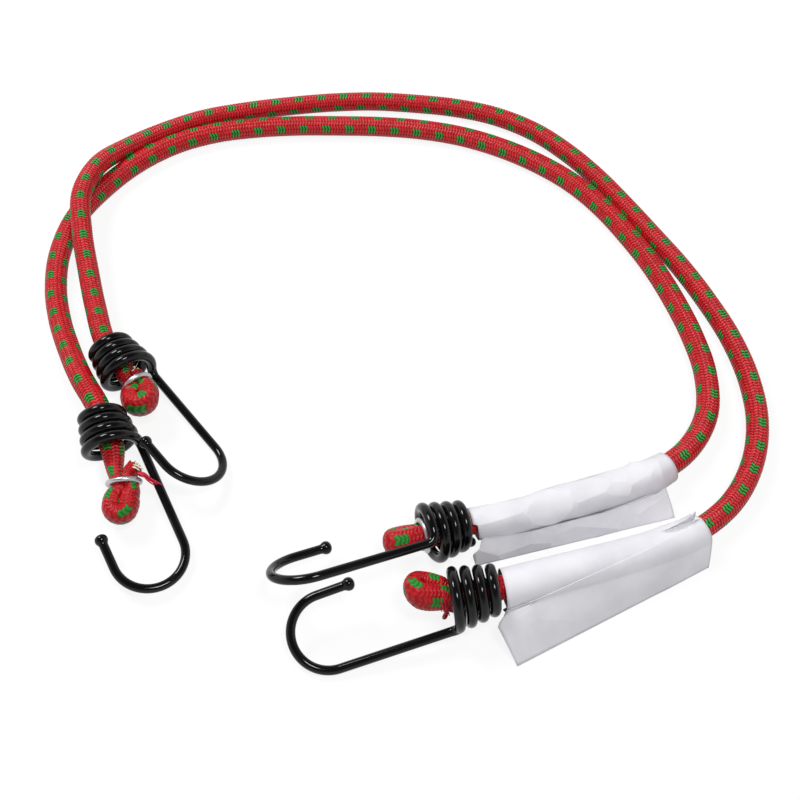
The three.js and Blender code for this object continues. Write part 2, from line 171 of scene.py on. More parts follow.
def swept_wires(
    name: str, lines: Sequence[np.ndarray], radii: Sequence[np.ndarray], roundness: int
) -> bpy.types.Object:
    """Round wires along lines of points, as one mesh.

    Args:
        name: Name of the piece.
        lines: Places along each wire, in millimetres.
        radii: Radius of the wire at each place.
        roundness: How finely the round of the wire is divided.

    Returns:
        The piece, in metres, with smooth sides.
    """
    curve = bpy.data.curves.new(name, "CURVE")
    curve.dimensions = "3D"
    curve.bevel_depth = MM
    curve.bevel_resolution = roundness
    curve.use_fill_caps = True
    curve.twist_mode = "MINIMUM"
    for line, radius in zip(lines, radii):
        spline = curve.splines.new("POLY")
        spline.points.add(len(line) - 1)
        places = np.column_stack([line * MM, np.ones(len(line))])
        spline.points.foreach_set("co", places.ravel())
        spline.points.foreach_set("radius", np.asarray(radius, float))
    piece = add_piece(name, curve)
    select_only(piece)
    bpy.ops.object.convert(target="MESH")
    piece = bpy.context.view_layer.objects.active
    bpy.ops.object.mode_set(mode="EDIT")
    bpy.ops.mesh.select_all(action="SELECT")
    bpy.ops.mesh.remove_doubles(threshold=1e-6)
    bpy.ops.mesh.normals_make_consistent(inside=False)
    bpy.ops.object.mode_set(mode="OBJECT")
    bpy.ops.object.shade_smooth_by_angle(angle=math.radians(SHARP_ANGLE))
    return piece


class Graph:
    """Adds nodes to one node tree and links them."""

    def __init__(self, tree: bpy.types.NodeTree) -> None:
        """Start from a tree with nothing in it."""
        self.tree = tree
        tree.nodes.clear()

    def node(self, kind: str, inputs: dict | None = None, **settings: object) -> bpy.types.Node:
        """Add a node.

        Args:
            kind: Blender's name of the node's type.
            inputs: Values or sockets for its inputs, by name or number.
            settings: Attributes set on the node.

        Returns:
            The new node.
        """
        made = self.tree.nodes.new(kind)
        for key, value in settings.items():
            setattr(made, key, value)
        for key, value in (inputs or {}).items():
            if isinstance(value, bpy.types.NodeSocket):
                self.tree.links.new(value, made.inputs[key])
            else:
                made.inputs[key].default_value = value
        return made

    def math(self, operation: str, *values: object) -> bpy.types.NodeSocket:
        """Result of a Math node on values or sockets."""
        made = self.node("ShaderNodeMath", dict(enumerate(values)), operation=operation)
        return made.outputs[0]

    def mix(self, share: object, first: object, second: object, blend: str = "MIX") -> bpy.types.NodeSocket:
        """Mix two colours.

        Args:
            share: How much of the second colour shows.
            first: Colour or socket.
            second: Colour or socket.
            blend: Blender's name of the way of mixing.

        Returns:
            Socket of the mixed colour.
        """
        inputs = {0: share, MIX_FIRST: first, MIX_SECOND: second}
        return self.node("ShaderNodeMix", inputs, data_type="RGBA", blend_type=blend).outputs[MIX_RESULT]

    def ranged(
        self, value: object, low: float, high: float, to_low: float, to_high: float
    ) -> bpy.types.NodeSocket:
        """A value carried from one range to another and held there."""
        inputs = {"Value": value, 1: low, 2: high, 3: to_low, 4: to_high}
        return self.node("ShaderNodeMapRange", inputs).outputs[0]

    def bump(
        self, height: object, strength: float, distance: float, under: bpy.types.NodeSocket | None = None
    ) -> bpy.types.NodeSocket:
        """Tilt the normals by a height.

        Args:
            height: Socket of the height.
            strength: Share of the tilt that shows.
            distance: Height in millimetres that a height of 1 stands for.
            under: Normals that are already tilted.

        Returns:
            Socket of the normals.
        """
        inputs = {"Height": height, "Strength": strength, "Distance": distance * MM}
        if under is not None:
            inputs["Normal"] = under
        return self.node("ShaderNodeBump", inputs).outputs["Normal"]


def new_material(name: str) -> tuple[bpy.types.Material, Graph]:
    """Start a node material.

    Args:
        name: Name of the material.

    Returns:
        The empty material and the helper that fills it.
    """
    material = bpy.data.materials.new(name)
    material.use_nodes = True
    return material, Graph(material.node_tree)


def close_material(graph: Graph, shader: bpy.types.Node) -> None:
    """Link a shader to a new material output."""
    graph.node("ShaderNodeOutputMaterial", {"Surface": shader.outputs[0]})


def grain_group() -> bpy.types.NodeTree:
    """Fine unevenness on Object coordinates, shared by the smooth finishes.

    Returns:
        A node group with a scale as its input, and a mask and a height as outputs.
    """
    name = "fine_grain"
    if name in bpy.data.node_groups:
        return bpy.data.node_groups[name]
    tree = bpy.data.node_groups.new(name, "ShaderNodeTree")
    for socket, side in (("Scale", "INPUT"), ("Mask", "OUTPUT"), ("Height", "OUTPUT")):
        tree.interface.new_socket(socket, in_out=side, socket_type="NodeSocketFloat")
    graph = Graph(tree)
    inlet = graph.node("NodeGroupInput")
    place = graph.node("ShaderNodeTexCoord").outputs["Object"]
    broad = graph.math("MULTIPLY", inlet.outputs["Scale"], CLOUD_SCALE)
    cloud = graph.node("ShaderNodeTexNoise", {"Vector": place, "Scale": broad, "Detail": 3.0})
    fine = graph.node(
        "ShaderNodeTexNoise", {"Vector": place, "Scale": inlet.outputs["Scale"], "Detail": 2.0}
    )
    outlet = graph.node("NodeGroupOutput")
    tree.links.new(cloud.outputs["Fac"], outlet.inputs["Mask"])
    tree.links.new(fine.outputs["Fac"], outlet.inputs["Height"])
    return tree


@dataclass(frozen=True)
class SmoothFinish:
    """A finish of one colour with fine unevenness in tint, gloss and height."""

    name: str
    colour: Colour
    deeper: Colour
    gloss: tuple[float, float]
    grain: float
    relief: float
    metal: float = 0.0
    mirror: float = 0.5
    see_in: float = 0.0
    see_in_run: float = 0.002
    bump: float = 0.5

    def material(self) -> bpy.types.Material:
        """Build the node material.

        Returns:
            The material, ready to be put on a piece.
        """
        material, graph = new_material(self.name)
        grain = graph.node("ShaderNodeGroup", node_tree=grain_group())
        grain.inputs["Scale"].default_value = self.grain
        mask = grain.outputs["Mask"]
        colour = graph.mix(graph.ranged(mask, *MASK_RANGE, 0.0, 1.0), self.colour, self.deeper)
        rough = graph.ranged(mask, *MASK_RANGE, *self.gloss)
        normal = graph.bump(grain.outputs["Height"], self.bump, self.relief)
        shader = graph.node(
            "ShaderNodeBsdfPrincipled",
            {
                "Base Color": colour,
                "Roughness": rough,
                "Metallic": self.metal,
                "Specular IOR Level": self.mirror,
                "Subsurface Weight": self.see_in,
                "Subsurface Scale": self.see_in_run,
                "Normal": normal,
            },
        )
        close_material(graph, shader)
        return material


@dataclass(frozen=True)
class Braid:
    """Make of the braided sheath, in millimetres."""

    radius: float = 4.0
    lead: float = 9.45
    columns: int = 16
    ribs: int = 8
    tracer_ribs: int = 3
    tracer_step: int = 2
    tracer_columns: int = 2
    tracer_group: int = 4
    slant: float = 1.0
    column_steps: int = 3
    dome: float = 0.14
    rib: float = 0.18
    rib_profile: tuple[float, ...] = (0.0, 1.0, 1.0)
    unevenness: float = 0.05
    drawn_over: float = 10.0
    drawn_flat: float = 0.6
    drawn_height: float = 0.75

    @property
    def row_pitch(self) -> float:
        """Length along the cord between two rows of the modelled skin."""
        return self.lead / (self.ribs * len(self.rib_profile))

    @property
    def hitch(self) -> float:
        """How far a yarn runs along the cord while it crosses one column."""
        return self.slant * self.lead / self.columns

    @property
    def relief(self) -> float:
        """Height of the braid's relief."""
        return self.dome + self.rib


@dataclass(frozen=True)
class BraidFinish:
    """Dyed yarn of the braided sheath, with one tracer yarn among the carriers, and painted shade in the
    grooves between yarns and at the column edges.
    """

    name: str
    braid: Braid
    ground: Colour = (0.75, 0.014, 0.022, 1.0)
    ground_deep: Colour = (0.54, 0.008, 0.013, 1.0)
    tracer: Colour = (0.033, 0.34, 0.044, 1.0)
    # Painted shade: groove_shade and edge_shade multiply the yarn colour down in the grooves between yarns
    # and at the column edges, tracer_shade deepens it in the tracer's grooves, and drawn_level is the
    # painted shade level that the drawn-tight bulbs are eased towards.
    groove_shade: float = 0.47
    tracer_shade: float = 0.42
    edge_shade: float = 0.6
    mirror: float = 0.58
    drawn_level: float = 0.68
    drawn_share: float = 0.6
    crown: float = 0.72
    edge_from: float = 0.7
    shine: float = 2.5
    fibre: float = 5200.0
    fibre_height: float = 0.35
    bump: float = 0.8
    relief: float = 0.2
    gloss: tuple[float, float] = (0.32, 0.46)

    def pattern(self, graph: Graph) -> dict[str, bpy.types.NodeSocket]:
        """Lay the braid out on the piece's own UV map.

        Args:
            graph: The material's node helper.

        Returns:
            Sockets for the tracer mask, the ridge of a yarn, the edge of a column and a yarn's own number.
        """
        braid = self.braid
        uv = graph.node("ShaderNodeUVMap", uv_map="braid").outputs[0]
        split = graph.node("ShaderNodeSeparateXYZ", {0: uv})
        along, round_it = split.outputs[0], split.outputs[1]
        columns = graph.math("MULTIPLY", round_it, float(braid.columns))
        column = graph.math("FLOOR", columns)
        across = graph.math("SUBTRACT", columns, column)
        odd = graph.math("FLOORED_MODULO", column, 2.0)
        climb = graph.math("ABSOLUTE", graph.math("SUBTRACT", odd, across))
        level = graph.math("MULTIPLY_ADD", climb, -braid.slant / braid.columns, along)
        yarns = graph.math("MULTIPLY", level, float(braid.ribs))
        yarn = graph.math("FLOOR", yarns)
        pair = graph.math("FLOOR", graph.math("DIVIDE", column, float(braid.tracer_group)))
        stepped = graph.math("MULTIPLY_ADD", pair, float(braid.tracer_step), yarn)
        place = graph.math("FLOORED_MODULO", stepped, float(braid.ribs))
        first = graph.math("LESS_THAN", place, braid.tracer_ribs - 0.5)
        in_group = graph.math("FLOORED_MODULO", column, float(braid.tracer_group))
        in_pair = graph.math("LESS_THAN", in_group, braid.tracer_columns - 0.5)
        tracer = graph.math("MULTIPLY", first, in_pair)
        swing = graph.math("SUBTRACT", graph.math("SUBTRACT", yarns, yarn), 0.5)
        ridge = graph.math("SUBTRACT", 1.0, graph.math("MULTIPLY", graph.math("ABSOLUTE", swing), 2.0))
        offset = graph.math("SUBTRACT", across, 0.5)
        edge = graph.math("MULTIPLY", graph.math("ABSOLUTE", offset), 2.0)
        key = graph.node("ShaderNodeCombineXYZ", {0: yarn, 1: column})
        chance = graph.node("ShaderNodeTexWhiteNoise", {"Vector": key.outputs[0]})
        return {"tracer": tracer, "ridge": ridge, "edge": edge, "chance": chance.outputs["Value"]}

    def material(self) -> bpy.types.Material:
        """Build the node material.

        Returns:
            The material, ready to be put on a piece.
        """
        material, graph = new_material(self.name)
        marks = self.pattern(graph)
        ground = graph.mix(marks["chance"], self.ground, self.ground_deep)
        dyed = graph.mix(marks["tracer"], ground, self.tracer)
        # Painted shade: the dyed colour is multiplied down in the grooves between yarns and at the edges of
        # each column, and eased towards drawn_level on the bulbs; the specular level is dimmed with the same
        # painted shade.
        depth = graph.math("MULTIPLY_ADD", marks["tracer"], -self.tracer_shade, self.groove_shade)
        crown = graph.ranged(marks["ridge"], 0.0, self.crown, 0.0, 1.0)
        ridge_light = graph.math("MULTIPLY_ADD", crown, graph.math("SUBTRACT", 1.0, depth), depth)
        edge_light = graph.ranged(marks["edge"], self.edge_from, 1.0, 1.0, self.edge_shade)
        painted_weave_shade = graph.math("MULTIPLY", ridge_light, edge_light)
        drawn = graph.node("ShaderNodeAttribute", attribute_name="drawn").outputs["Fac"]
        share = graph.math("MULTIPLY", drawn, self.drawn_share)
        gap = graph.math("SUBTRACT", self.drawn_level, painted_weave_shade)
        light = graph.math("MULTIPLY_ADD", gap, share, painted_weave_shade)
        shade = graph.node("ShaderNodeCombineColor", {0: light, 1: light, 2: light}).outputs[0]
        colour = graph.mix(1.0, dyed, shade, "MULTIPLY")
        place = graph.node("ShaderNodeTexCoord").outputs["Object"]
        fibre = graph.node("ShaderNodeTexNoise", {"Vector": place, "Scale": self.fibre, "Detail": 2.0})
        height = graph.math("MULTIPLY_ADD", fibre.outputs["Fac"], self.fibre_height, marks["ridge"])
        normal = graph.bump(height, self.bump, self.relief)
        rough = graph.ranged(fibre.outputs["Fac"], *MASK_RANGE, *self.gloss)
        shine = graph.math("POWER", light, self.shine)
        shader = graph.node(
            "ShaderNodeBsdfPrincipled",
            {
                "Base Color": colour,
                "Roughness": rough,
                "Specular IOR Level": graph.math("MULTIPLY", shine, self.mirror),
                "Normal": normal,
            },
        )
        close_material(graph, shader)
        return material


@dataclass(frozen=True)
class PaperFinish:
    """Matt white paper, bare, with a little fibre."""

    name: str
    colour: Colour = (0.83, 0.82, 0.86, 1.0)
    cloud: Colour = (0.76, 0.75, 0.80, 1.0)
    facet: float = 0.5
    facets: float = 75.0
    grain: float = 900.0
    roughness: float = 0.78
    cloud_range: tuple[float, float] = (0.35, 0.65)
    bump: float = 0.35
    relief: float = 0.05

    def material(self) -> bpy.types.Material:
        """Build the node material.

        Returns:
            The material, ready to be put on a piece.
        """
        material, graph = new_material(self.name)
        grain = graph.node("ShaderNodeGroup", node_tree=grain_group())
        grain.inputs["Scale"].default_value = self.grain
        mask = grain.outputs["Mask"]
        sheet = graph.mix(graph.ranged(mask, *self.cloud_range, 0.0, 1.0), self.colour, self.cloud)
        fine = graph.bump(grain.outputs["Height"], self.bump, self.relief)
        place = graph.node("ShaderNodeTexCoord").outputs["Object"]
        cells = graph.node("ShaderNodeTexVoronoi", {"Vector": place, "Scale": self.facets})
        normal = graph.bump(cells.outputs["Distance"], 1.0, self.facet, fine)
        shader = graph.node(
            "ShaderNodeBsdfPrincipled",
            {"Base Color": sheet, "Roughness": self.roughness, "Normal": normal},
        )
        close_material(graph, shader)
        return material


@dataclass(frozen=True)
class HookMake:
    """Sizes of a wire hook, in millimetres and degrees."""

    wire: float = 3.2
    coil_wire: float = 3.5
    shank_wire: float = 3.0
    turns: float = 3.75
    pitch: float = 3.9
    throat: float = 6.1
    mouth: float = 8.7
    neck: float = 3.0
    shank: float = 35.4
    splay: float = 3.9
    bend: float = 11.6
    bend_turn: float = 178.5
    tip: float = 12.3
    bead: float = 4.3
    bead_length: float = 3.4
    bead_from: float = 1.12
    bead_round: float = 0.5
    bead_flat: float = 0.003
    bead_shares: tuple[float, ...] = (
        1.3, 1.12, 1.0, 0.9, 0.8, 0.68, 0.5, 0.36, 0.24, 0.15, 0.08, 0.035, 0.01, 0.0,
    )
    cut_shares: tuple[float, ...] = (0.55, 0.85, 0.97)
    turn_steps: int = 48
    bend_steps: int = 44
    neck_steps: int = 12
    shank_steps: int = 14
    roundness: int = 7

    @property
    def back(self) -> float:
        """Distance from the mouth of the coil to behind its narrow end."""
        return self.turns * self.pitch + self.wire / 2

    @property
    def height(self) -> float:
        """Height of the coil's axis over the table at its mouth."""
        return self.mouth + self.wire / 2

    def path(self) -> tuple[np.ndarray, np.ndarray]:
        """Line of the wire in the hook's own frame.

        Returns:
            Places along the wire and its radius at each.
        """
        neck_angle = math.asin(self.neck / self.mouth)
        share = np.linspace(0.0, 1.0, round(self.turns * self.turn_steps) + 1)
        angle = neck_angle + (1 - share) * self.turns * 2 * math.pi
        radius = self.throat + (self.mouth - self.throat) * share
        run = (share - 1) * self.turns * self.pitch
        coil = np.column_stack([run, radius * np.cos(angle), radius * np.sin(angle)])
        leave = coil[-1]
        fall = np.array((0.0, math.sin(neck_angle), -math.cos(neck_angle)))
        swing = np.linspace(0.0, math.pi / 2, self.neck_steps + 1)[1:, None]
        ahead = np.array((1.0, 0.0, 0.0))
        neck = leave + fall * self.neck * np.sin(swing) + ahead * self.neck * (1 - np.cos(swing))
        splay = math.radians(self.splay)
        start = neck[-1]
        shank_way = np.array((math.cos(splay), math.sin(splay), 0.0))
        share = np.linspace(0.0, 1.0, self.shank_steps + 1)[1:-1, None]
        shank = start + shank_way * self.shank * share
        end = start + shank_way * self.shank
        centre = end + self.bend * np.array((math.sin(splay), -math.cos(splay), 0.0))
        bent = math.radians(self.bend_turn)
        sweep = math.pi / 2 + splay - bent * np.linspace(0.0, 1.0, self.bend_steps + 1)
        flat = np.zeros_like(sweep)
        bend = centre + self.bend * np.column_stack([np.cos(sweep), np.sin(sweep), flat])
        back = splay - bent
        tip_way = np.array((math.cos(back), math.sin(back), 0.0))
        behind = np.array(self.bead_shares)
        tip = bend[-1] + tip_way * (self.tip - behind * self.bead_length)[:, None]
        full, slim = self.coil_wire / 2, self.shank_wire / 2
        swell = smooth((self.bead_from - behind) / self.bead_round)
        rounding = np.maximum(0.0, 1.0 - behind / self.bead_round)
        cap = np.sqrt(np.maximum(self.bead_flat, 1.0 - rounding**2))
        bead = (slim + swell * (self.bead / 2 - slim)) * cap
        line = np.vstack([coil, neck, shank, bend, tip])
        radii = np.full(len(line), slim)
        radii[: len(coil)] = full
        radii[len(coil) : len(coil) + len(neck)] = np.linspace(full, slim, len(neck))
        radii[-len(bead) :] = bead
        radii[: len(self.cut_shares)] = np.array(self.cut_shares) * full
        return line, radii


@dataclass(frozen=True)
class FoldMake:
    """Sizes of a doubled cord end and its crimp ring, in millimetres."""

    half_width: float = 6.5
    half_depth: float = 5.2
    bundle: float = 4.15
    overlap: float = 0.4
    press_run: float = 5.0
    leg_flatness: float = 0.95
    press: tuple[float, ...] = (-0.75, 1.2, 1.35, 0.95, 0.6)
    tail_width: float = 1.15
    tail_pinch: float = 0.5
    bend_steps: int = 8
    swell_run: float = 2.0
    ring_radius: float = 4.9
    ring_wire: float = 1.9
    ring_gap: float = 1.4
    pinch: float = 2.6
    lead: float = 3.0
    lean_run: float = 4.0
    ring_steps: int = 72
    ring_roundness: int = 5


@dataclass(frozen=True)
class ThreadMake:
    """Sizes of the rubber threads in a cut tail, in millimetres."""

    count: int = 18
    steps: int = 7
    sunk: float = 2.0
    within: float = 0.8
    uneven: float = 0.5
    inset: float = 0.6
    stray: float = 0.35
    radii: tuple[float, float] = (0.3, 0.42)
    roundness: int = 1


HOOK = HookMake()
FOLD = FoldMake()
BRAID = Braid()
THREAD = ThreadMake()


@dataclass(frozen=True)
class EndPlace:
    """Where a hook lies and how the cord's doubled end sits in it, in millimetres and degrees."""

    x: float
    y: float
    lift: float
    yaw: float
    tilt: float
    turn: float
    fold: float
    ring: float
    tail: float
    aside: float
    upward: float
    bare: float
    flare: float = 0.3
    ring_lean: float = 0.0
    ring_skew: float = 0.0
    plump: float = 1.0
    length: float = 13.2
    shift: float = 0.0

    def matrix(self, turn: float) -> np.ndarray:
        """Frame of the end, x along the cord towards the hook.

        Args:
            turn: Turn about the cord in degrees.

        Returns:
            Matrix from the end's frame to the shared one, in millimetres.
        """
        spin = Euler((math.radians(turn), math.radians(self.tilt), math.radians(self.yaw)), "XYZ")
        place = Matrix.Translation((self.x, self.y, HOOK.height + self.lift))
        return np.array(place @ spin.to_matrix().to_4x4())

    def world(self, rows: np.ndarray, turn: float) -> np.ndarray:
        """Carry rows of places from the end's frame to the shared one."""
        matrix = self.matrix(turn)
        return rows @ matrix[:3, :3].T + matrix[:3, 3]

    @property
    def ring_half(self) -> float:
        """Half the length of cord under the ring."""
        return FOLD.ring_wire / 2 + FIT_GAP

    @property
    def tail_stop(self) -> float:
        """Where the tail ends, before or behind the coil's mouth."""
        return self.ring - self.ring_half - self.tail

    @property
    def round_until(self) -> float:
        """Where the cord is still round, before it is pressed against its tail."""
        return min(0.0, self.tail_stop - FOLD.press_run)

    @property
    def join(self) -> float:
        """Where the doubled end takes over from the route."""
        return self.round_until - FOLD.lead

    def stations(self, girth: float) -> np.ndarray:
        """Controls of the doubled end, outwards and back to the cut of the tail.

        Args:
            girth: Share of the nominal radius that the cord has.

        Returns:
            Rows of x, y, then half width to the crease and away from it, half depth and pinch.
        """
        make = FOLD
        leg = make.bundle / 2
        depth = make.bundle * make.leg_flatness
        half_width, half_depth = make.half_width * self.plump, make.half_depth * self.plump
        bend = half_width / 2
        bend_x = self.ring + self.length - half_width
        radius = BRAID.radius * girth
        near, beyond = self.ring - self.ring_half, self.ring + self.ring_half
        swell = bend_x - make.swell_run
        off, to_crease, away, pressed, pinch = make.press
        rows = [
            (self.join, 0.0, radius, radius, radius, 0.0),
            (self.round_until, 0.0, radius, radius, radius, 0.0),
            (self.tail_stop, off * leg, to_crease * leg, away * leg, pressed * radius, pinch),
        ]
        legs = [(near, leg, leg, depth), (beyond, leg, leg, depth), (swell, bend, bend, half_depth)]
        rows += [(x, -y, y + make.overlap, wide, deep, 1.0) for x, y, wide, deep in legs]
        for swing in np.linspace(-math.pi / 2, math.pi / 2, make.bend_steps + 1):
            x, y = bend_x + bend * math.cos(swing), bend * math.sin(swing)
            rows.append((x, y, bend + make.overlap, bend, half_depth, 1.0))
        rows += [(x, y, y + make.overlap, wide, deep, 1.0) for x, y, wide, deep in reversed(legs)]
        tail = (leg + self.flare, leg + make.overlap, make.tail_width * leg, depth, make.tail_pinch)
        rows.append((self.tail_stop, *tail))
        return np.array(rows)


@dataclass
class Spine:
    """Dense sections along a whole cord, from the cut of its left tail to that of its front tail."""

    centre: np.ndarray
    second: np.ndarray
    inner: np.ndarray
    outer: np.ndarray
    depth: np.ndarray
    pinch: np.ndarray
    inner_angle: np.ndarray
    arcs: np.ndarray = field(init=False)
    first: np.ndarray = field(init=False)
    heading: np.ndarray = field(init=False)

    def __post_init__(self) -> None:
        """Measure the line and square its sections to it."""
        self.arcs = arcs_of(self.centre)
        self.heading = headings_of(self.centre)
        across = np.sum(self.second * self.heading, axis=1, keepdims=True)
        self.second = unit(self.second - self.heading * across)
        self.first = np.cross(self.second, self.heading)

    def read(self, values: np.ndarray, arcs: np.ndarray) -> np.ndarray:
        """Read values along the line.

        Args:
            values: A value or a row of values for each place of the line.
            arcs: Lengths along the line.

        Returns:
            The values at those arcs.
        """
        if values.ndim == 1:
            return np.interp(arcs, self.arcs, values)
        return rows_at(arcs, self.arcs, values)

    def surface(self, arcs: np.ndarray, angles: np.ndarray, relief: np.ndarray, inset: float) -> np.ndarray:
        """Places on the cord's skin.

        Args:
            arcs: Length along the cord.
            angles: Angle round it, from underneath.
            relief: Height over the inset skin.
            inset: How far the skin is drawn in from the full section.

        Returns:
            A place for each arc and angle, in millimetres.
        """
        turn = angles - self.read(self.inner_angle, arcs)
        cos, sin = np.cos(turn), np.sin(turn)
        power = 2.0 + self.read(self.pinch, arcs) * (cos > 0)
        size = (np.abs(cos) ** power + np.abs(sin) ** power) ** (-1.0 / power)
        wide = np.where(cos > 0, self.read(self.inner, arcs), self.read(self.outer, arcs)) - inset
        deep = self.read(self.depth, arcs) - inset
        inward = cos * (size * wide + relief)
        sideways = sin * (size * deep + relief)
        angle = self.read(self.inner_angle, arcs)
        first, second = self.read(self.first, arcs), self.read(self.second, arcs)
        in_way = np.cos(angle)[..., None] * first + np.sin(angle)[..., None] * second
        deep_way = -np.sin(angle)[..., None] * first + np.cos(angle)[..., None] * second
        return self.read(self.centre, arcs) + inward[..., None] * in_way + sideways[..., None] * deep_way


@dataclass(frozen=True)
class CordLay:
    """One cord as it lies: its route between the coils, its ends and its stretching length."""

    name: str
    left: EndPlace
    front: EndPlace
    route: tuple[Point, ...]
    stretch_side: Side
    stretch: float
    girth: float
    roll: tuple[float, ...]
    cut: float = 18.225

    def end(self, side: Side) -> EndPlace:
        """One end of the cord."""
        return self.left if side is Side.LEFT else self.front

    def line(self) -> np.ndarray:
        """Lay the cord's middle line.

        Returns:
            Dense places from the mouth of the left coil to that of the front coil.
        """
        radius = BRAID.radius
        axis = np.array([(0.0, 0.0, 0.0), (-HOOK.back / 2, 0.0, 0.0), (-HOOK.back, 0.0, 0.0)])
        middle = np.array([(x, y, radius + lift) for x, y, lift in self.route])
        points = np.vstack([self.left.world(axis, 0.0), middle, self.front.world(axis[::-1], 0.0)])
        dense = through(points)
        dense[:, 2] = np.maximum(dense[:, 2], radius)
        return dense

    def doubled(self, side: Side) -> tuple[np.ndarray, np.ndarray, np.ndarray]:
        """The doubled end outwards.

        Args:
            side: Which end.

        Returns:
            Its places, the direction towards its crease, and its rows of section sizes.
        """
        end = self.end(side)
        rows = through(end.stations(self.girth), spatial=2)
        past = np.maximum(0.0, rows[:, 0] - end.ring - end.ring_half)
        swing = math.radians(end.aside) * smooth(past / FOLD.lean_run)
        ahead = rows[:, 0] - past + past * np.cos(swing) - rows[:, 1] * np.sin(swing)
        aside = past * np.sin(swing) + rows[:, 1] * np.cos(swing) + end.shift * smooth(past / FOLD.lean_run)
        height = past * math.tan(math.radians(end.upward))
        places = end.world(np.column_stack([ahead, aside, height]), end.fold)
        normal = end.matrix(end.fold)[:3, 2]
        inward = unit(np.cross(normal, headings_of(places)))
        return places, inward, rows[:, 2:]

    def spine(self) -> tuple[Spine, float, float]:
        """The whole cord.

        Returns:
            Its sections, and the arcs of its left and front coil mouths.
        """
        dense = self.line()
        arcs = arcs_of(dense)
        keep = (arcs > -self.left.join) & (arcs < arcs[-1] + self.front.join)
        run = dense[keep]
        side = unit(np.cross(UP, headings_of(run)))
        left, left_in, left_rows = self.doubled(Side.LEFT)
        front, front_in, front_rows = self.doubled(Side.FRONT)
        left_side = self.eased(-left_in, side[0], left)
        front_side = self.eased(front_in, side[-1], front)
        radius = BRAID.radius * self.girth
        plain = np.tile((radius, radius, radius, 0.0), (len(run), 1))
        rows = np.vstack([left_rows[::-1], plain, front_rows])
        quarter = math.pi / 2
        on_left = len(left) + len(run) // 2
        spine = Spine(
            centre=np.vstack([left[::-1], run, front]),
            second=np.vstack([left_side[::-1], side, front_side]),
            inner=rows[:, 0],
            outer=rows[:, 1],
            depth=rows[:, 2],
            pinch=rows[:, 3] * FOLD.pinch,
            inner_angle=np.repeat([-quarter, quarter], [on_left, len(rows) - on_left]),
        )
        left_mouth = spine.arcs[len(left)] + self.left.join
        front_mouth = spine.arcs[len(left) + len(run) - 1] - self.front.join
        return spine, left_mouth, front_mouth

    @staticmethod
    def eased(inward: np.ndarray, side: np.ndarray, places: np.ndarray) -> np.ndarray:
        """Turn the section from the route's own side to the fold's over the pressed length."""
        share = smooth(arcs_of(places) / FOLD.press_run)[:, None]
        return unit(share * inward + (1 - share) * side)


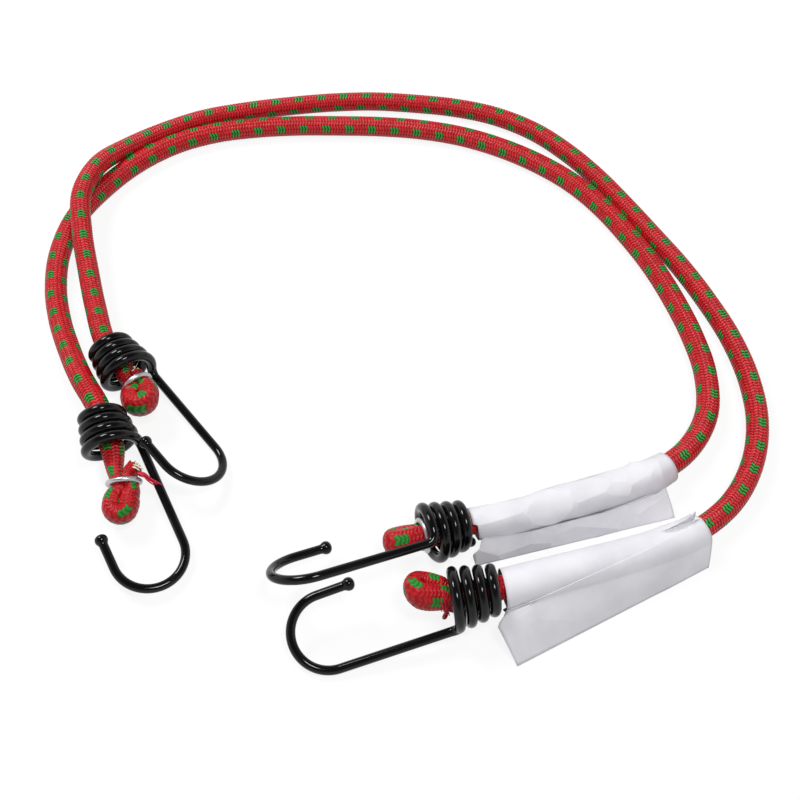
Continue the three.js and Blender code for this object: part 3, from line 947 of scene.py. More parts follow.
class BraidedLength:
    """Braided sheath over part of a cord's spine, modelled yarn by yarn."""

    def __init__(
        self, spine: Spine, roll: Sequence[float], mouths: tuple[float, float], braid: Braid = BRAID
    ) -> None:
        """Keep what the sheath follows.

        Args:
            spine: The whole cord's sections.
            roll: Turn of the braid in degrees at even shares of the spine.
            mouths: Arcs of the two coil mouths, beyond which the sheath is drawn tight over its bulbs.
            braid: Make of the braid.
        """
        self.spine = spine
        self.mouths = mouths
        self.roll = np.radians(np.array(roll))
        self.braid = braid

    def build(self, name: str, start: float, stop: float) -> bpy.types.Object:
        """Model the sheath between two arcs.

        Args:
            name: Name of the piece.
            start: Arc where it begins.
            stop: Arc where it ends.

        Returns:
            The piece, in metres.
        """
        braid = self.braid
        count = braid.columns * braid.column_steps
        turns = np.arange(count) / count
        columns = turns * braid.columns
        across = columns % 1.0
        zigzag = np.where(np.floor(columns) % 2 == 0, across, 1.0 - across) * braid.hitch
        first = math.ceil(start / braid.row_pitch - 1e-6)
        last = math.floor((stop - braid.hitch) / braid.row_pitch + 1e-6)
        numbers = np.arange(first, last + 1)
        arcs = numbers[:, None] * braid.row_pitch + zigzag[None, :]
        dome = braid.dome * (1.0 - (2.0 * across - 1.0) ** 2)
        rib = braid.rib * np.array(braid.rib_profile)[numbers % len(braid.rib_profile)]
        chance = np.random.default_rng(len(numbers)).random(arcs.shape)
        relief = dome[None, :] + rib[:, None] - braid.unevenness * chance
        drawn = smooth((self.mouths[0] - arcs) / braid.drawn_over)
        drawn = drawn + smooth((arcs - self.mouths[1]) / braid.drawn_over)
        relief += (braid.drawn_height * braid.relief - relief) * drawn * braid.drawn_flat
        share = np.linspace(0.0, self.spine.arcs[-1], len(self.roll))
        angles = turns * 2 * math.pi + np.interp(arcs, share, self.roll)
        skin = self.spine.surface(arcs, angles, relief, braid.relief)
        piece = self.mesh(name, skin, arcs / braid.lead, turns)
        shares = np.append(drawn.ravel(), (drawn[0, 0], drawn[-1, 0]))
        piece.data.attributes.new("drawn", "FLOAT", "POINT").data.foreach_set("value", shares)
        return piece

    def mesh(self, name: str, skin: np.ndarray, along: np.ndarray, turns: np.ndarray) -> bpy.types.Object:
        """Join rows of places into a closed tube with its braid's UV map.

        Args:
            name: Name of the piece.
            skin: Places by row and turn, in millimetres.
            along: Leads of the braid run at each place.
            turns: Share of a turn round the cord for each column of places.

        Returns:
            The piece, in metres.
        """
        rows, count = skin.shape[:2]
        cell_rows, cell_turns = np.meshgrid(np.arange(rows - 1), np.arange(count), indexing="ij")
        beside = (cell_turns + 1) % count
        here, there = turns[cell_turns], np.append(turns[1:], 1.0)[cell_turns]
        corners = (
            (cell_rows, cell_turns, here),
            (cell_rows, beside, there),
            (cell_rows + 1, beside, there),
            (cell_rows + 1, cell_turns, here),
        )
        quads = np.stack([row * count + turn for row, turn, _ in corners], axis=-1).reshape(-1, 4)
        uv = np.stack(
            [np.stack([along[row, turn], share], axis=-1) for row, turn, share in corners], axis=2
        ).reshape(-1, 2)
        middle_first, middle_last = skin[0].mean(axis=0), skin[-1].mean(axis=0)
        places = np.vstack([skin.reshape(-1, 3), middle_first, middle_last])
        hub_first, hub_last = rows * count, rows * count + 1
        ring = np.arange(count)
        fans = [(hub_first, int((i + 1) % count), int(i)) for i in ring]
        base = (rows - 1) * count
        fans += [(hub_last, int(base + i), int(base + (i + 1) % count)) for i in ring]
        data = bpy.data.meshes.new(name)
        data.from_pydata((places * MM).tolist(), [], quads.tolist() + fans)
        layer = data.uv_layers.new(name="braid")
        fan_uv = np.tile((along[0, 0], 0.06), (len(fans) * 3, 1))
        layer.data.foreach_set("uv", np.vstack([uv, fan_uv]).ravel())
        data.shade_smooth()
        return add_piece(name, data)


@dataclass(frozen=True)
class LabelMake:
    """A paper label hung round a cord, with its flap, in millimetres and degrees."""

    length: float
    far_radius: float
    hook_radius: float
    flap_angles: tuple[float, ...]
    far_corner: tuple[float, float]
    hook_corner: tuple[float, float]
    coil_start: float
    swing: tuple[float, float]
    notch: float = 0.0
    ahead: float = 0.0
    bulge: float = 0.0
    hang: float = 1.0
    bow: float = 0.0
    bow_from: float = 0.0
    crumple: float = 1.0
    torn: float = 0.0
    torn_run: float = 15.0
    torn_angle: float = 112.0
    behind_coil: float = 0.3
    room_used: float = 0.8
    belly: float = 0.5
    late: int = 4
    coil_late: int = 8
    bow_run: float = 0.2
    least_lain: float = 4.0
    creases: int = 8
    crease_spread: float = 1.6
    crease_height: float = 0.4
    crease_width: tuple[float, float] = (0.04, 0.12)
    crease_limits: tuple[float, float] = (-0.4, 1.1)
    flap_calm: float = 0.6
    torn_steps: int = 16
    torn_rows: int = 5
    torn_reach: tuple[float, float] = (0.75, 1.1)
    torn_fade: float = 0.7
    torn_from: float = 2.0
    layers: float = 0.5
    seam: float = 250.0
    overlap: float = 50.0
    paper: float = 0.22
    over_until: float = 15.0
    along_steps: int = 70
    wrap_steps: int = 64
    flap_steps: int = 30
    seed: int = 3

    @property
    def clear(self) -> float:
        """Height over the table of the middle of paper that lies on it."""
        return self.paper * 0.6

    def radius_at(self, share: float) -> tuple[float, float]:
        """Size of the sleeve at a place along the label.

        Args:
            share: Place along the label, from its far edge to its hook edge.

        Returns:
            Outside radius of the sleeve and how far it hangs below the cord's axis.
        """
        outside = self.far_radius + (self.hook_radius - self.far_radius) * share
        outside += self.bulge * math.sin(math.pi * share)
        slack = outside - self.layers - BRAID.radius - self.paper
        return outside, slack * (self.hang + (1.0 - self.hang) * share)

    def sleeve(self, share: float, height: float) -> tuple[np.ndarray, np.ndarray]:
        """Middle of the wound paper across the cord.

        Args:
            share: Place along the label, from its far edge to its hook edge.
            height: Height of the cord's axis over the table.

        Returns:
            Angles round the cord in degrees, and rows of outward and upward distance from its axis.
        """
        outside, sag = self.radius_at(share)
        wound = np.linspace(0.0, 1.0, self.wrap_steps)
        turn = self.seam - (360.0 + self.overlap) * wound
        away = np.radians(turn)
        radius = outside - self.layers * (1.0 - wound)
        wrap = np.column_stack([radius * np.cos(away), radius * np.sin(away) - sag])
        wrap[:, 1] = np.maximum(wrap[:, 1], self.clear - height)
        return turn, wrap

    def room(self, turn: np.ndarray) -> np.ndarray:
        """Room that the coil leaves the sleeve at any angle, wherever the hook swings.

        Args:
            turn: Angles round the cord in degrees.

        Returns:
            Length along the cord.
        """
        back, on = self.swing
        behind = (self.coil_start - turn) % 360.0
        free = HOOK.pitch * np.maximum(0.0, behind - back) / 360.0
        return np.where(behind > 360.0 - on, 0.0, free)

    def flap(self, share: float, height: float) -> np.ndarray:
        """Part of the flap that lies on the sleeve.

        Args:
            share: Place along the label, from its far edge to its hook edge.
            height: Height of the cord's axis over the table.

        Returns:
            Rows of outward and upward distance from the cord's axis.
        """
        outside, sag = self.radius_at(share)
        stops = np.linspace(0.0, 1.0, len(self.flap_angles))
        start = float(np.interp(share, stops, self.flap_angles))
        until = min(start - self.least_lain, self.over_until)
        away = np.radians(np.linspace(start, until, self.flap_steps // 2))
        radius = outside + self.paper
        lain = np.column_stack([radius * np.cos(away), radius * np.sin(away) - sag])
        lain[:, 1] = np.maximum(lain[:, 1], self.clear - height)
        return lain

    def build(self, name: str, line: np.ndarray) -> tuple[bpy.types.Object, tuple[float, float]]:
        """Model the paper round a route.

        Args:
            name: Name of the piece.
            line: Dense places of the cord, ending at the mouth of the front coil.

        Returns:
            The piece, and the width and length of the flat paper in metres.
        """
        arcs = arcs_of(line)
        heading = headings_of(line)
        stop = arcs[-1] - HOOK.back - self.behind_coil
        far, hook = np.array((*self.far_corner, 0.0)), np.array((*self.hook_corner, 0.0))
        sleeve = np.zeros((self.along_steps, self.wrap_steps, 3))
        flap = np.zeros((self.along_steps, self.flap_steps, 3))
        half = self.flap_steps // 2
        run = np.linspace(0.0, 1.0, self.flap_steps - half + 1)[1:, None]

        def carry(at: np.ndarray, section: np.ndarray) -> np.ndarray:
            """Carry a section to the line.

            Args:
                at: Arc on the line for each row.
                section: Rows of outward and upward distance from the cord's axis.

            Returns:
                Places in the shared frame.
            """
            centre = rows_at(at, arcs, line)
            way = unit(rows_at(at, arcs, heading))
            outward = unit(np.cross(UP, way))
            return centre + outward * section[:, :1] + np.cross(way, outward) * section[:, 1:]

        for row, share in enumerate(np.linspace(0.0, 1.0, self.along_steps)):
            base = stop - self.length * (1.0 - share)
            height = float(np.interp(base, arcs, line[:, 2]))
            turn, section = self.sleeve(share, height)
            sleeve[row] = carry(base + self.room_used * self.room(turn) * share**self.coil_late, section)
            shift = self.notch * (1.0 - share) ** self.late + self.ahead * share**self.late
            lain = self.flap(share, height)
            flap[row, :half] = carry(np.full(half, base + shift), lain)
            root = flap[row, half - 1]
            edge = far + (hook - far) * share + UP * self.clear
            belly = UP * self.belly * np.sin(run * math.pi)
            eased = smooth((run - self.bow_from) / self.bow_run)
            bow = self.bow * share**self.late * (1.0 - run) * eased
            flap[row, half:] = root + (edge - root) * run + belly + unit(hook - far) * bow
        width = sum(float(arcs_of(grid[self.along_steps // 2])[-1]) for grid in (sleeve, flap))
        grids = [self.creased(sleeve, 0), self.creased(flap, 1)]
        if self.torn:
            grids.append(self.torn_strip(carry, stop - self.length))
        piece = self.mesh(name, grids)
        return piece, (width * MM, self.length * MM)

    def torn_strip(self, carry: Callable[[np.ndarray, np.ndarray], np.ndarray], start: float) -> np.ndarray:
        """Torn edge of the paper that stands up at the far end.

        Args:
            carry: Takes arcs and rows of a section to places in the shared frame.
            start: Arc of the label's far edge.

        Returns:
            Grid of places.
        """
        draw = random.Random(self.seed)
        outside, sag = self.radius_at(0.0)
        angle = math.radians(self.torn_angle)
        foot = np.array((math.cos(angle), math.sin(angle))) * (outside + self.paper)
        rows = []
        for share in np.linspace(0.0, 1.0, self.torn_steps):
            reach = self.torn * (1.0 - share) ** self.torn_fade * draw.uniform(*self.torn_reach)
            lean = np.array((-0.25 + 0.5 * share, 0.9))
            section = foot - (0.0, sag) + np.outer(np.linspace(-0.2, 1.0, self.torn_rows), lean * reach)
            at = start + self.torn_from * (1.0 - share) + self.torn_run * share
            back = at - 0.1 * reach * (1.0 - share)
            rows.append(carry(np.linspace(at, back, self.torn_rows), section))
        return np.array(rows)

    def creased(self, grid: np.ndarray, layer: int) -> np.ndarray:
        """Lay soft dents and sharp creases into one layer of the paper.

        Args:
            grid: Places of the layer.
            layer: 0 for the sleeve, 1 for the flap.

        Returns:
            The moved places, none below the table.
        """
        draw = random.Random(self.seed + layer)
        normal = unit(np.cross(np.gradient(grid, axis=0), np.gradient(grid, axis=1)))
        along, across = np.meshgrid(
            np.linspace(0.0, 1.0, grid.shape[0]), np.linspace(0.0, 1.0, grid.shape[1]), indexing="ij"
        )
        lift = np.zeros(along.shape)
        for _ in range(self.creases):
            angle = draw.uniform(0.0, math.pi)
            offset = draw.uniform(0.0, self.crease_spread)
            far = along * math.cos(angle) * 2.0 + across * math.sin(angle) - offset
            height = draw.uniform(-self.crease_height, self.crease_height)
            lift += height * np.exp(-np.abs(far) / draw.uniform(*self.crease_width))
        lift = np.clip(lift * self.crumple, *self.crease_limits) * (1.0 - self.flap_calm * layer)
        grid = grid + normal * lift[..., None]
        grid[..., 2] = np.maximum(grid[..., 2], self.clear)
        return grid

    def mesh(self, name: str, grids: Sequence[np.ndarray]) -> bpy.types.Object:
        """Join grids of places into sheets with thickness.

        Args:
            name: Name of the piece.
            grids: Places of each layer, in millimetres.

        Returns:
            The piece, in metres.
        """
        places, faces = [], []
        count_before = 0
        for grid in grids:
            rows, count = grid.shape[:2]
            first = np.arange(rows - 1)[:, None] * count + np.arange(count - 1) + count_before
            faces += (first.reshape(-1, 1) + (0, count, count + 1, 1)).tolist()
            places.append(grid.reshape(-1, 3))
            count_before += rows * count
        data = bpy.data.meshes.new(name)
        data.from_pydata((np.vstack(places) * MM).tolist(), [], faces)
        data.shade_smooth()
        piece = add_piece(name, data)
        select_only(piece)
        wall = piece.modifiers.new("thickness", "SOLIDIFY")
        wall.thickness = self.paper * MM
        wall.offset = 0.0
        bpy.ops.object.modifier_apply(modifier=wall.name)
        return piece


@dataclass(frozen=True)
class Wisp:
    """Loose strands that run together along a line, in millimetres."""

    name: str
    side: Side
    finish: str
    slot: str
    points: tuple[Point, ...]
    strands: int = 7
    spread: float = 0.5
    radius: float = 0.3
    splay: float = 1.6
    steps: int = 8
    waves: tuple[float, float] = (2.0, 5.0)
    wave: float = 0.3
    shortest: float = 0.72
    thinning: float = 0.5
    roundness: int = 2

    def build(self, owner: str) -> bpy.types.Object:
        """Model the strands.

        Args:
            owner: Name of the cord end that they hang from.

        Returns:
            The piece, in metres.
        """
        draw = random.Random(f"{owner}_{self.name}")
        middle = through(np.array(self.points))[:: SAMPLES // self.steps]
        share = np.linspace(0.0, 1.0, len(middle))
        lines, radii = [], []
        for _ in range(self.strands):
            aside = np.array([draw.gauss(0.0, 1.0) for _ in range(3)])
            aside *= self.spread / max(1.0, np.linalg.norm(aside))
            phase = share * draw.uniform(*self.waves) + draw.uniform(0.0, 6.0)
            wave = np.sin(phase) * self.wave * self.spread
            reach = round(len(middle) * draw.uniform(self.shortest, 1.0))
            line = middle + aside * (1.0 + (self.splay - 1.0) * share[:, None]) + wave[:, None]
            lines.append(line[:reach])
            radii.append(self.radius * (1.0 - self.thinning * share[:reach] ** 2))
        return swept_wires(f"{owner}_{self.name}", lines, radii, self.roundness)


@dataclass
class BungeeCord:
    """One bungee cord: braid, doubled ends, rings, hooks, label and loose threads."""

    lay: CordLay
    label: LabelMake
    wisps: tuple[Wisp, ...]
    finishes: dict[str, bpy.types.Material]

    def body(self, side: Side) -> str:
        """Name of the body that carries an end."""
        name = f"{self.lay.name}_cord"
        return f"{self.lay.name}_{side.value}_end" if side is self.lay.stretch_side else name

    def dress(self, piece: bpy.types.Object, finish: str, slot: str) -> bpy.types.Object:
        """Give a piece its finish.

        Args:
            piece: The piece.
            finish: Key of its finish.
            slot: Not used.

        Returns:
            The same piece.
        """
        piece.data.materials.clear()
        piece.data.materials.append(self.finishes[finish])
        LOG.info("%s: %d faces", piece.name, len(piece.data.polygons))
        return piece

    def build(self) -> None:
        """Model and place every piece of the cord."""
        name = self.lay.name
        spine, left_mouth, front_mouth = self.lay.spine()
        on_left = self.lay.stretch_side is Side.LEFT
        reach = self.lay.cut + self.lay.stretch
        seam = left_mouth + reach if on_left else front_mouth - reach
        step = BRAID.row_pitch
        seam = round(seam / step) * step
        hitch = BRAID.hitch
        begin, finish = self.lay.left.bare, spine.arcs[-1] - self.lay.front.bare
        sheath = BraidedLength(spine, self.lay.roll, (left_mouth, front_mouth))
        spans = {True: (begin, seam + hitch), False: (seam, finish)}
        run_name, stretch_name = f"{name}_braid_run", f"{name}_braid_stretch"
        run = self.dress(sheath.build(run_name, *spans[not on_left]), "sheath", "sheath")
        stretch = self.dress(sheath.build(stretch_name, *spans[on_left]), "sheath", "sheath")
        own = f"{name}_cord"
        moving, still = self.lay.stretch_side, Side.FRONT if on_left else Side.LEFT
        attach(run, own)
        fixed = f"{name}_{still.value}_fold"
        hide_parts(f"{name}_sheath", f"{name}_core", f"{fixed}_sheath", f"{fixed}_core")
        loose = f"{name}_{moving.value}_fold"
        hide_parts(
            f"{name}_stretch_sheath", f"{name}_stretch_core", f"{loose}_sheath", f"{loose}_core"
        )
        coil_arc = left_mouth + self.lay.cut if on_left else front_mouth - self.lay.cut
        seam_place = spine.read(spine.centre, np.array(seam)) * MM
        coil_place = spine.read(spine.centre, np.array(coil_arc)) * MM
        self.body(moving)
        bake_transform(stretch)
        fittings = {side: self.end_pieces(side, spine) for side in Side}
        sleeve = self.paper()
        self.declare(run, stretch, spine, seam, fittings, sleeve)

    def declare(
        self,
        run: bpy.types.Object,
        stretch: bpy.types.Object,
        spine: Spine,
        seam: float,
        fittings: dict[Side, list[bpy.types.Object]],
        sleeve: bpy.types.Object,
    ) -> None:
        """Args:
            run: The long run.
            stretch: The stretching length with its doubled end.
            spine: The whole cord's sections.
            seam: Arc where the two lengths meet.
            fittings: Pieces on each end.
            sleeve: The paper label.
        """
        on_left = self.lay.stretch_side is Side.LEFT
        moving, still = self.lay.stretch_side, Side.FRONT if on_left else Side.LEFT
        whole = np.arange(self.lay.left.bare, spine.arcs[-1] - self.lay.front.bare, PATH_STEP)
        before, after = whole[whole <= seam], whole[whole >= seam]
        long_arcs, short_arcs = (after[::-1], before[::-1]) if on_left else (before, after)
        for piece, arcs, exit_arc, far_end, pieces in (
            (run, long_arcs, long_arcs[0], "object", [*fittings[still], sleeve]),
            (stretch, short_arcs, seam, "fitting", fittings[moving]),
        ):
            path = spine.read(spine.centre, arcs) * MM
            tuple(spine.read(spine.centre, np.array(exit_arc)) * MM)
            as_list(pieces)

    def end_pieces(self, side: Side, spine: Spine) -> list[bpy.types.Object]:
        """Hook, ring and loose threads of one end.

        Args:
            side: Which end.
            spine: The whole cord's sections.

        Returns:
            The pieces.
        """
        end = self.lay.end(side)
        label = f"{self.lay.name}_{side.value}"
        line, radii = HOOK.path()
        hook = swept_wires(f"{label}_wire_hook", [end.world(line, end.turn)], [radii], HOOK.roundness)
        self.dress(hook, "hook", "hook")
        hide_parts(f"{label}_hook")
        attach(hook, f"{label}_hook")
        ring = self.dress(self.crimp(end, f"{label}_crimp_ring"), "ring", "ring")
        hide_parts(f"{label}_ring")
        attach(ring, self.body(side))
        loose = [self.dress(self.threads(side, spine, f"{label}_tail_threads"), "core", "core")]
        for wisp in self.wisps:
            if wisp.side is side:
                loose.append(self.dress(wisp.build(label), wisp.finish, wisp.slot))
        for piece in loose:
            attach(piece, self.body(side))
        return [hook, ring, *loose]

    @staticmethod
    def crimp(end: EndPlace, name: str) -> bpy.types.Object:
        """Open wire ring closed round both legs of a doubled end.

        Args:
            end: The end that it holds.
            name: Name of the piece.

        Returns:
            The piece, in metres.
        """
        radius = FOLD.ring_radius
        opening = (FOLD.ring_gap + FOLD.ring_wire) / radius
        sweep = np.linspace(opening / 2, 2 * math.pi - opening / 2, FOLD.ring_steps + 1) - math.pi / 2
        lean = radius * np.sin(sweep) * math.tan(math.radians(end.ring_lean))
        lean += radius * np.cos(sweep) * math.tan(math.radians(end.ring_skew))
        ring = np.column_stack([end.ring + lean, radius * np.cos(sweep), radius * np.sin(sweep)])
        radii = np.full(len(sweep), FOLD.ring_wire / 2)
        return swept_wires(name, [end.world(ring, end.fold)], [radii], FOLD.ring_roundness)

    def threads(self, side: Side, spine: Spine, name: str) -> bpy.types.Object:
        """Rubber threads that stand out of the cut tail.

        Args:
            side: Which end.
            spine: The whole cord's sections.
            name: Name of the piece.

        Returns:
            The piece, in metres.
        """
        end = self.lay.end(side)
        draw = random.Random(name)
        make = THREAD
        stop, way = (0.0, 1.0) if side is Side.LEFT else (spine.arcs[-1], -1.0)
        lines, radii = [], []
        for _ in range(make.count):
            angle, far = draw.uniform(0.0, 2 * math.pi), math.sqrt(draw.random()) * make.within
            short = draw.uniform(0.0, make.uneven * end.bare)
            arcs = np.linspace(stop + way * end.bare + way * make.sunk, stop + way * short, make.steps)
            angles = np.full(make.steps, angle)
            outside = spine.surface(arcs, angles, np.zeros(make.steps), make.inset)
            centre = spine.read(spine.centre, arcs)
            stray = np.array([draw.uniform(-make.stray, make.stray) for _ in range(3)])
            bow = np.linspace(0.0, 1.0, make.steps)[:, None] ** 2
            lines.append(centre + (outside - centre) * far + stray * bow)
            radii.append(np.full(make.steps, draw.uniform(*make.radii)))
        return swept_wires(name, lines, radii, make.roundness)

    def paper(self) -> bpy.types.Object:
        """Returns:
            The piece.
        """
        name = self.lay.name
        sleeve, flat = self.label.build(f"{name}_paper_label", self.lay.line())
        self.dress(sleeve, f"{name}_label", "label")
        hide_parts(f"{name}_label")
        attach(sleeve, f"{name}_cord")
        return sleeve


@dataclass(frozen=True)
class Studio:
    """Pale floor, soft light and the camera of the photograph, in metres, degrees and watts."""

    camera_place: Point = (0.0031, -0.2411, 0.3321)
    camera_tilt: float = 33.0
    focal_pixels: float = 1120.6
    frame_pixels: float = 800.0
    sensor: float = 36.0
    fill: float = 0.26
    ceiling: float = 0.1
    floor_size: float = 8.0
    floor_grey: float = 0.6
    floor_glow: float = 1.1
    floor_share: float = 0.8
    near_clip: float = 0.01
    horizon: tuple[float, float] = (0.3, 0.7)
    lamps: tuple[tuple[str, Point, float, float], ...] = (
        ("left_box", (-0.45, 0.35, 0.75), 0.27, 5.3),
        ("near_box", (0.22, -0.22, 0.92), 0.22, 4.3),
    )

    def build(self) -> None:
        """Set up camera, floor, world and lamps."""
        self.camera()
        self.floor()
        self.world()
        for lamp in self.lamps:
            self.lamp(*lamp)
        bpy.context.scene.view_settings.view_transform = "Standard"

    def camera(self) -> None:
        """Camera at the photograph's place and angle."""
        data = bpy.data.cameras.new("camera")
        data.sensor_width = self.sensor
        data.lens = self.focal_pixels / self.frame_pixels * self.sensor
        data.clip_start = self.near_clip
        camera = add_piece("camera", data)
        camera.location = self.camera_place
        camera.rotation_euler = (math.radians(self.camera_tilt), 0.0, 0.0)
        bpy.context.scene.camera = camera

    @staticmethod
    def shown(graph: Graph) -> bpy.types.NodeSocket:
        """Find the rays that should see the plain background.

        Args:
            graph: The node helper of the floor or the surroundings.

        Returns:
            Socket that is 1 on such a ray.
        """
        path = graph.node("ShaderNodeLightPath")
        seen = graph.math("MAXIMUM", path.outputs["Is Camera Ray"], path.outputs["Is Glossy Ray"])
        return graph.math("MAXIMUM", seen, path.outputs["Is Transmission Ray"])

    def floor(self) -> None:
        """Pale floor that keeps the object's soft shadow."""
        bpy.ops.object.select_all(action="DESELECT")
        bpy.ops.mesh.primitive_plane_add(size=self.floor_size, location=(0.0, 0.0, 0.0))
        floor = bpy.context.view_layer.objects.active
        floor.name = "floor"
        material, graph = new_material("floor_white")
        grey = self.floor_grey
        matt = graph.node("ShaderNodeBsdfDiffuse", {"Color": (grey, grey, grey, 1.0)})
        glow = graph.node("ShaderNodeEmission", {"Color": (1.0, 1.0, 1.0, 1.0), "Strength": self.floor_glow})
        share = graph.math("MULTIPLY", self.shown(graph), self.floor_share)
        mixed = graph.node("ShaderNodeMixShader", {0: share, 1: matt.outputs[0], 2: glow.outputs[0]})
        close_material(graph, mixed)
        floor.data.materials.append(material)

    def world(self) -> None:
        """White surroundings under a dark ceiling, with a modest fill of light."""
        world = bpy.data.worlds.new("surroundings")
        world.use_nodes = True
        bpy.context.scene.world = world
        graph = Graph(world.node_tree)
        sky = graph.node("ShaderNodeTexCoord").outputs["Generated"]
        way = graph.node("ShaderNodeSeparateXYZ", {0: sky})
        seen = graph.ranged(way.outputs[2], *self.horizon, 1.0, self.ceiling)
        shown = self.shown(graph)
        lit = graph.math("MULTIPLY", graph.math("SUBTRACT", 1.0, shown), self.fill)
        strength = graph.math("MULTIPLY_ADD", shown, seen, lit)
        back = graph.node("ShaderNodeBackground", {"Color": (1.0, 1.0, 1.0, 1.0), "Strength": strength})
        graph.node("ShaderNodeOutputWorld", {"Surface": back.outputs[0]})

    @staticmethod
    def lamp(name: str, place: Point, size: float, power: float) -> None:
        """A square soft box aimed at the middle of the pair.

        Args:
            name: Name of the lamp.
            place: Where it stands.
            size: Side of the box.
            power: Its power.
        """
        data = bpy.data.lights.new(name, "AREA")
        data.shape = "RECTANGLE"
        data.size, data.size_y = size, size
        data.energy = power
        lamp = add_piece(name, data)
        lamp.location = place
        lamp.rotation_euler = (-Vector(place)).to_track_quat("-Z", "Y").to_euler()


OUTER = CordLay(
    name="outer",
    left=EndPlace(
        x=-90.8, y=-21.9, lift=0.3, yaw=-52.5, tilt=3.8, turn=-34.0, fold=0.0,
        ring=5.0, tail=4.0, aside=-26.0, upward=9.0, bare=1.2, length=12.6,
    ),
    front=EndPlace(
        x=19.3, y=-105.4, lift=0.4, yaw=-166.8, tilt=5.0, turn=-28.0, fold=24.0,
        ring=-2.4, tail=4.0, aside=-6.6, upward=22.8, bare=1.2, plump=0.9, length=16.7, shift=-1.8,
    ),
    route=(
        (-107.3, 8.6, 6.2), (-112.3, 25.1, 6.2), (-116.9, 42.5, 7.8), (-119.8, 61.3, 8.7),
        (-115.9, 78.7, 7.0), (-106.7, 92.4, 3.0), (-94.5, 103.3, 0.6), (-79.8, 111.2, 0.0),
        (-62.7, 115.9, 0.0), (-44.5, 119.2, 0.0), (-26.0, 121.5, 0.0), (-7.9, 122.2, 0.0),
        (9.4, 120.8, 0.0), (26.3, 118.3, 0.0), (43.0, 113.2, 0.0), (58.6, 104.1, 0.0),
        (71.5, 91.7, 0.0), (82.5, 77.5, 0.0), (91.9, 62.4, 0.0), (100.8, 47.0, 0.0),
        (109.3, 31.8, 0.0), (116.6, 15.8, 0.0), (122.7, -1.0, 0.0), (126.3, -18.8, 0.0),
        (126.4, -36.3, 0.0), (121.9, -53.2, 0.0), (112.6, -68.2, 0.3), (99.1, -79.4, 1.4),
        (82.9, -86.6, 3.2), (65.5, -92.4, 5.2), (49.3, -97.6, 7.2),
    ),
    stretch_side=Side.FRONT,
    stretch=50.0,
    girth=0.97,
    roll=(0.0, -13.0, -26.0, -36.0, -30.0),
)
INNER = CordLay(
    name="inner",
    left=EndPlace(
        x=-92.5, y=-51.8, lift=0.2, yaw=-66.8, tilt=8.2, turn=-8.0, fold=0.0,
        ring=12.8, tail=3.3, aside=-30.0, upward=0.0, bare=0.7, flare=4.0,
        ring_lean=8.0, ring_skew=16.0, plump=0.92, length=14.4,
    ),
    front=EndPlace(
        x=11.3, y=-83.3, lift=0.3, yaw=-160.0, tilt=-7.6, turn=46.0, fold=50.0,
        ring=1.0, tail=4.0, aside=-8.0, upward=0.0, bare=1.2, plump=0.8,
    ),
    route=(
        (-106.9, -24.1, 7.8), (-114.2, -9.7, 4.4), (-120.9, 6.0, 1.4), (-125.3, 21.9, 0.2),
        (-126.6, 38.8, 0.0), (-123.4, 56.6, 0.0), (-114.3, 73.0, 0.0), (-102.5, 86.9, 0.0),
        (-88.3, 97.3, 0.0), (-72.5, 103.5, 0.0), (-55.9, 106.4, 0.0), (-39.0, 107.6, 0.0),
        (-21.7, 107.6, 0.0), (-4.6, 107.1, 0.0), (12.1, 105.3, 0.0), (28.6, 101.4, 0.0),
        (44.4, 94.8, 0.0), (59.1, 85.9, 0.0), (71.9, 75.1, 0.0), (82.2, 62.4, 0.0),
        (90.7, 48.2, 0.0), (98.4, 32.7, 0.0), (104.6, 15.8, 0.0), (109.1, -0.9, 0.0),
        (111.3, -17.0, 0.0), (109.3, -33.7, 0.0), (101.0, -47.8, 0.4), (88.1, -58.0, 1.5),
        (71.9, -65.1, 3.0), (54.8, -70.9, 4.6), (40.3, -75.9, 6.0),
    ),
    stretch_side=Side.LEFT,
    stretch=32.0,
    girth=1.02,
    roll=(45.0, 45.0, 45.0),
)


LABELS = {
    "outer": LabelMake(
        length=68.5,
        far_radius=6.1,
        hook_radius=6.9,
        flap_angles=(105.0, 74.0, 43.0, 5.0),
        far_corner=(102.5, -89.7),
        hook_corner=(39.0, -122.7),
        coil_start=262.0,
        swing=(112.0, 47.0),
        ahead=1.8,
        hang=0.1,
        bow=4.5,
        torn=4.0,
    ),
    "inner": LabelMake(
        length=69.4,
        far_radius=5.8,
        hook_radius=5.7,
        flap_angles=(4.0, 4.0),
        far_corner=(94.0, -72.0),
        hook_corner=(27.5, -89.3),
        coil_start=336.0,
        swing=(20.0, 84.0),
        notch=5.0,
        ahead=-1.0,
        bulge=0.9,
        hang=0.0,
        bow=4.5,
        bow_from=0.4,
        crumple=2.2,
        behind_coil=0.9,
        seed=8,
    ),
}
OUTER_FRAYED = ((15.2, -105.3, 15.0), (16.2, -106.6, 13.5), (17.1, -107.8, 11.5), (17.8, -109.2, 9.5))
OUTER_LOOP = (
    (16.9, -107.6, 11.8), (17.2, -108.6, 8.6), (16.6, -109.2, 5.6), (17.4, -108.6, 4.8),
    (18.0, -107.9, 6.4), (17.7, -108.2, 8.2),
)
INNER_FRAYED = ((-82.4, -61.6, 11.5), (-80.4, -62.4, 11.8), (-77.8, -64.4, 12.0), (-74.6, -66.2, 11.2))
INNER_RUBBER = ((-86.4, -58.7, 12.1), (-84.0, -59.5, 12.3), (-81.4, -61.2, 11.6))
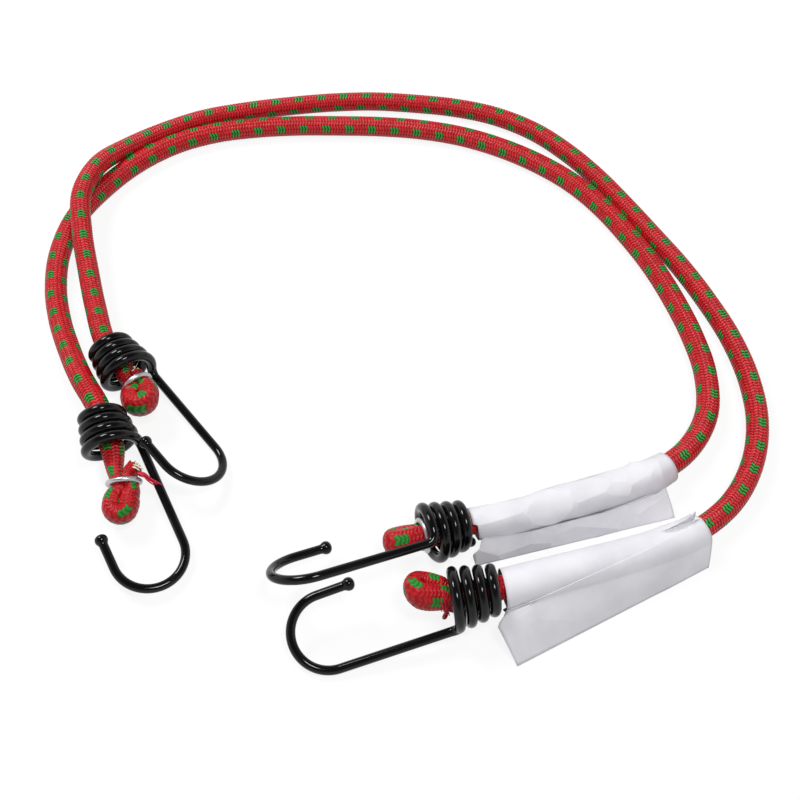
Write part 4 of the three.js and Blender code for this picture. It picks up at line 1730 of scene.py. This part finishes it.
WISPS = {
    "outer": (
        Wisp("frayed_yarn", Side.FRONT, "yarn", "sheath", OUTER_FRAYED, strands=14, spread=1.0),
        Wisp("yarn_loop", Side.FRONT, "yarn", "sheath", OUTER_LOOP, strands=3, spread=0.25),
    ),
    "inner": (
        Wisp("frayed_yarn", Side.LEFT, "yarn", "sheath", INNER_FRAYED, strands=9),
        Wisp("rubber_threads", Side.LEFT, "core", "core", INNER_RUBBER, strands=6),
    ),
}


def finishes() -> dict[str, bpy.types.Material]:
    """Build every finish.

    Returns:
        Materials by the names that the pieces are dressed with.
    """
    vinyl = SmoothFinish(
        "black_vinyl",
        colour=(0.003, 0.003, 0.0035, 1.0),
        deeper=(0.005, 0.005, 0.006, 1.0),
        gloss=(0.08, 0.14),
        grain=900.0,
        relief=0.004,
        mirror=0.26,
    )
    plated = SmoothFinish(
        "bright_plated_wire",
        colour=(0.62, 0.62, 0.64, 1.0),
        deeper=(0.46, 0.46, 0.48, 1.0),
        gloss=(0.34, 0.48),
        grain=2400.0,
        relief=0.05,
        metal=1.0,
    )
    latex = SmoothFinish(
        "latex_threads",
        colour=(0.84, 0.74, 0.58, 1.0),
        deeper=(0.72, 0.58, 0.42, 1.0),
        gloss=(0.5, 0.65),
        grain=2600.0,
        relief=0.05,
        see_in=0.15,
    )
    yarn = SmoothFinish(
        "loose_red_yarn",
        colour=(0.62, 0.02, 0.05, 1.0),
        deeper=(0.5, 0.012, 0.03, 1.0),
        gloss=(0.5, 0.65),
        grain=2600.0,
        relief=0.05,
        mirror=0.3,
    )
    return {
        "yarn": yarn.material(),
        "sheath": BraidFinish("red_braid_green_tracer", BRAID).material(),
        "core": latex.material(),
        "hook": vinyl.material(),
        "ring": plated.material(),
        "outer_label": PaperFinish("white_paper").material(),
        "inner_label": PaperFinish("crumpled_white_paper", facet=3.5).material(),
    }


def main() -> None:
    """Build the studio and both cords."""
    logging.basicConfig(level=logging.INFO, format="%(message)s")
    Studio().build()
    dressed = finishes()
    for lay in (OUTER, INNER):
        BungeeCord(lay, LABELS[lay.name], WISPS[lay.name], dressed).build()


if __name__ == "__main__":
    main()
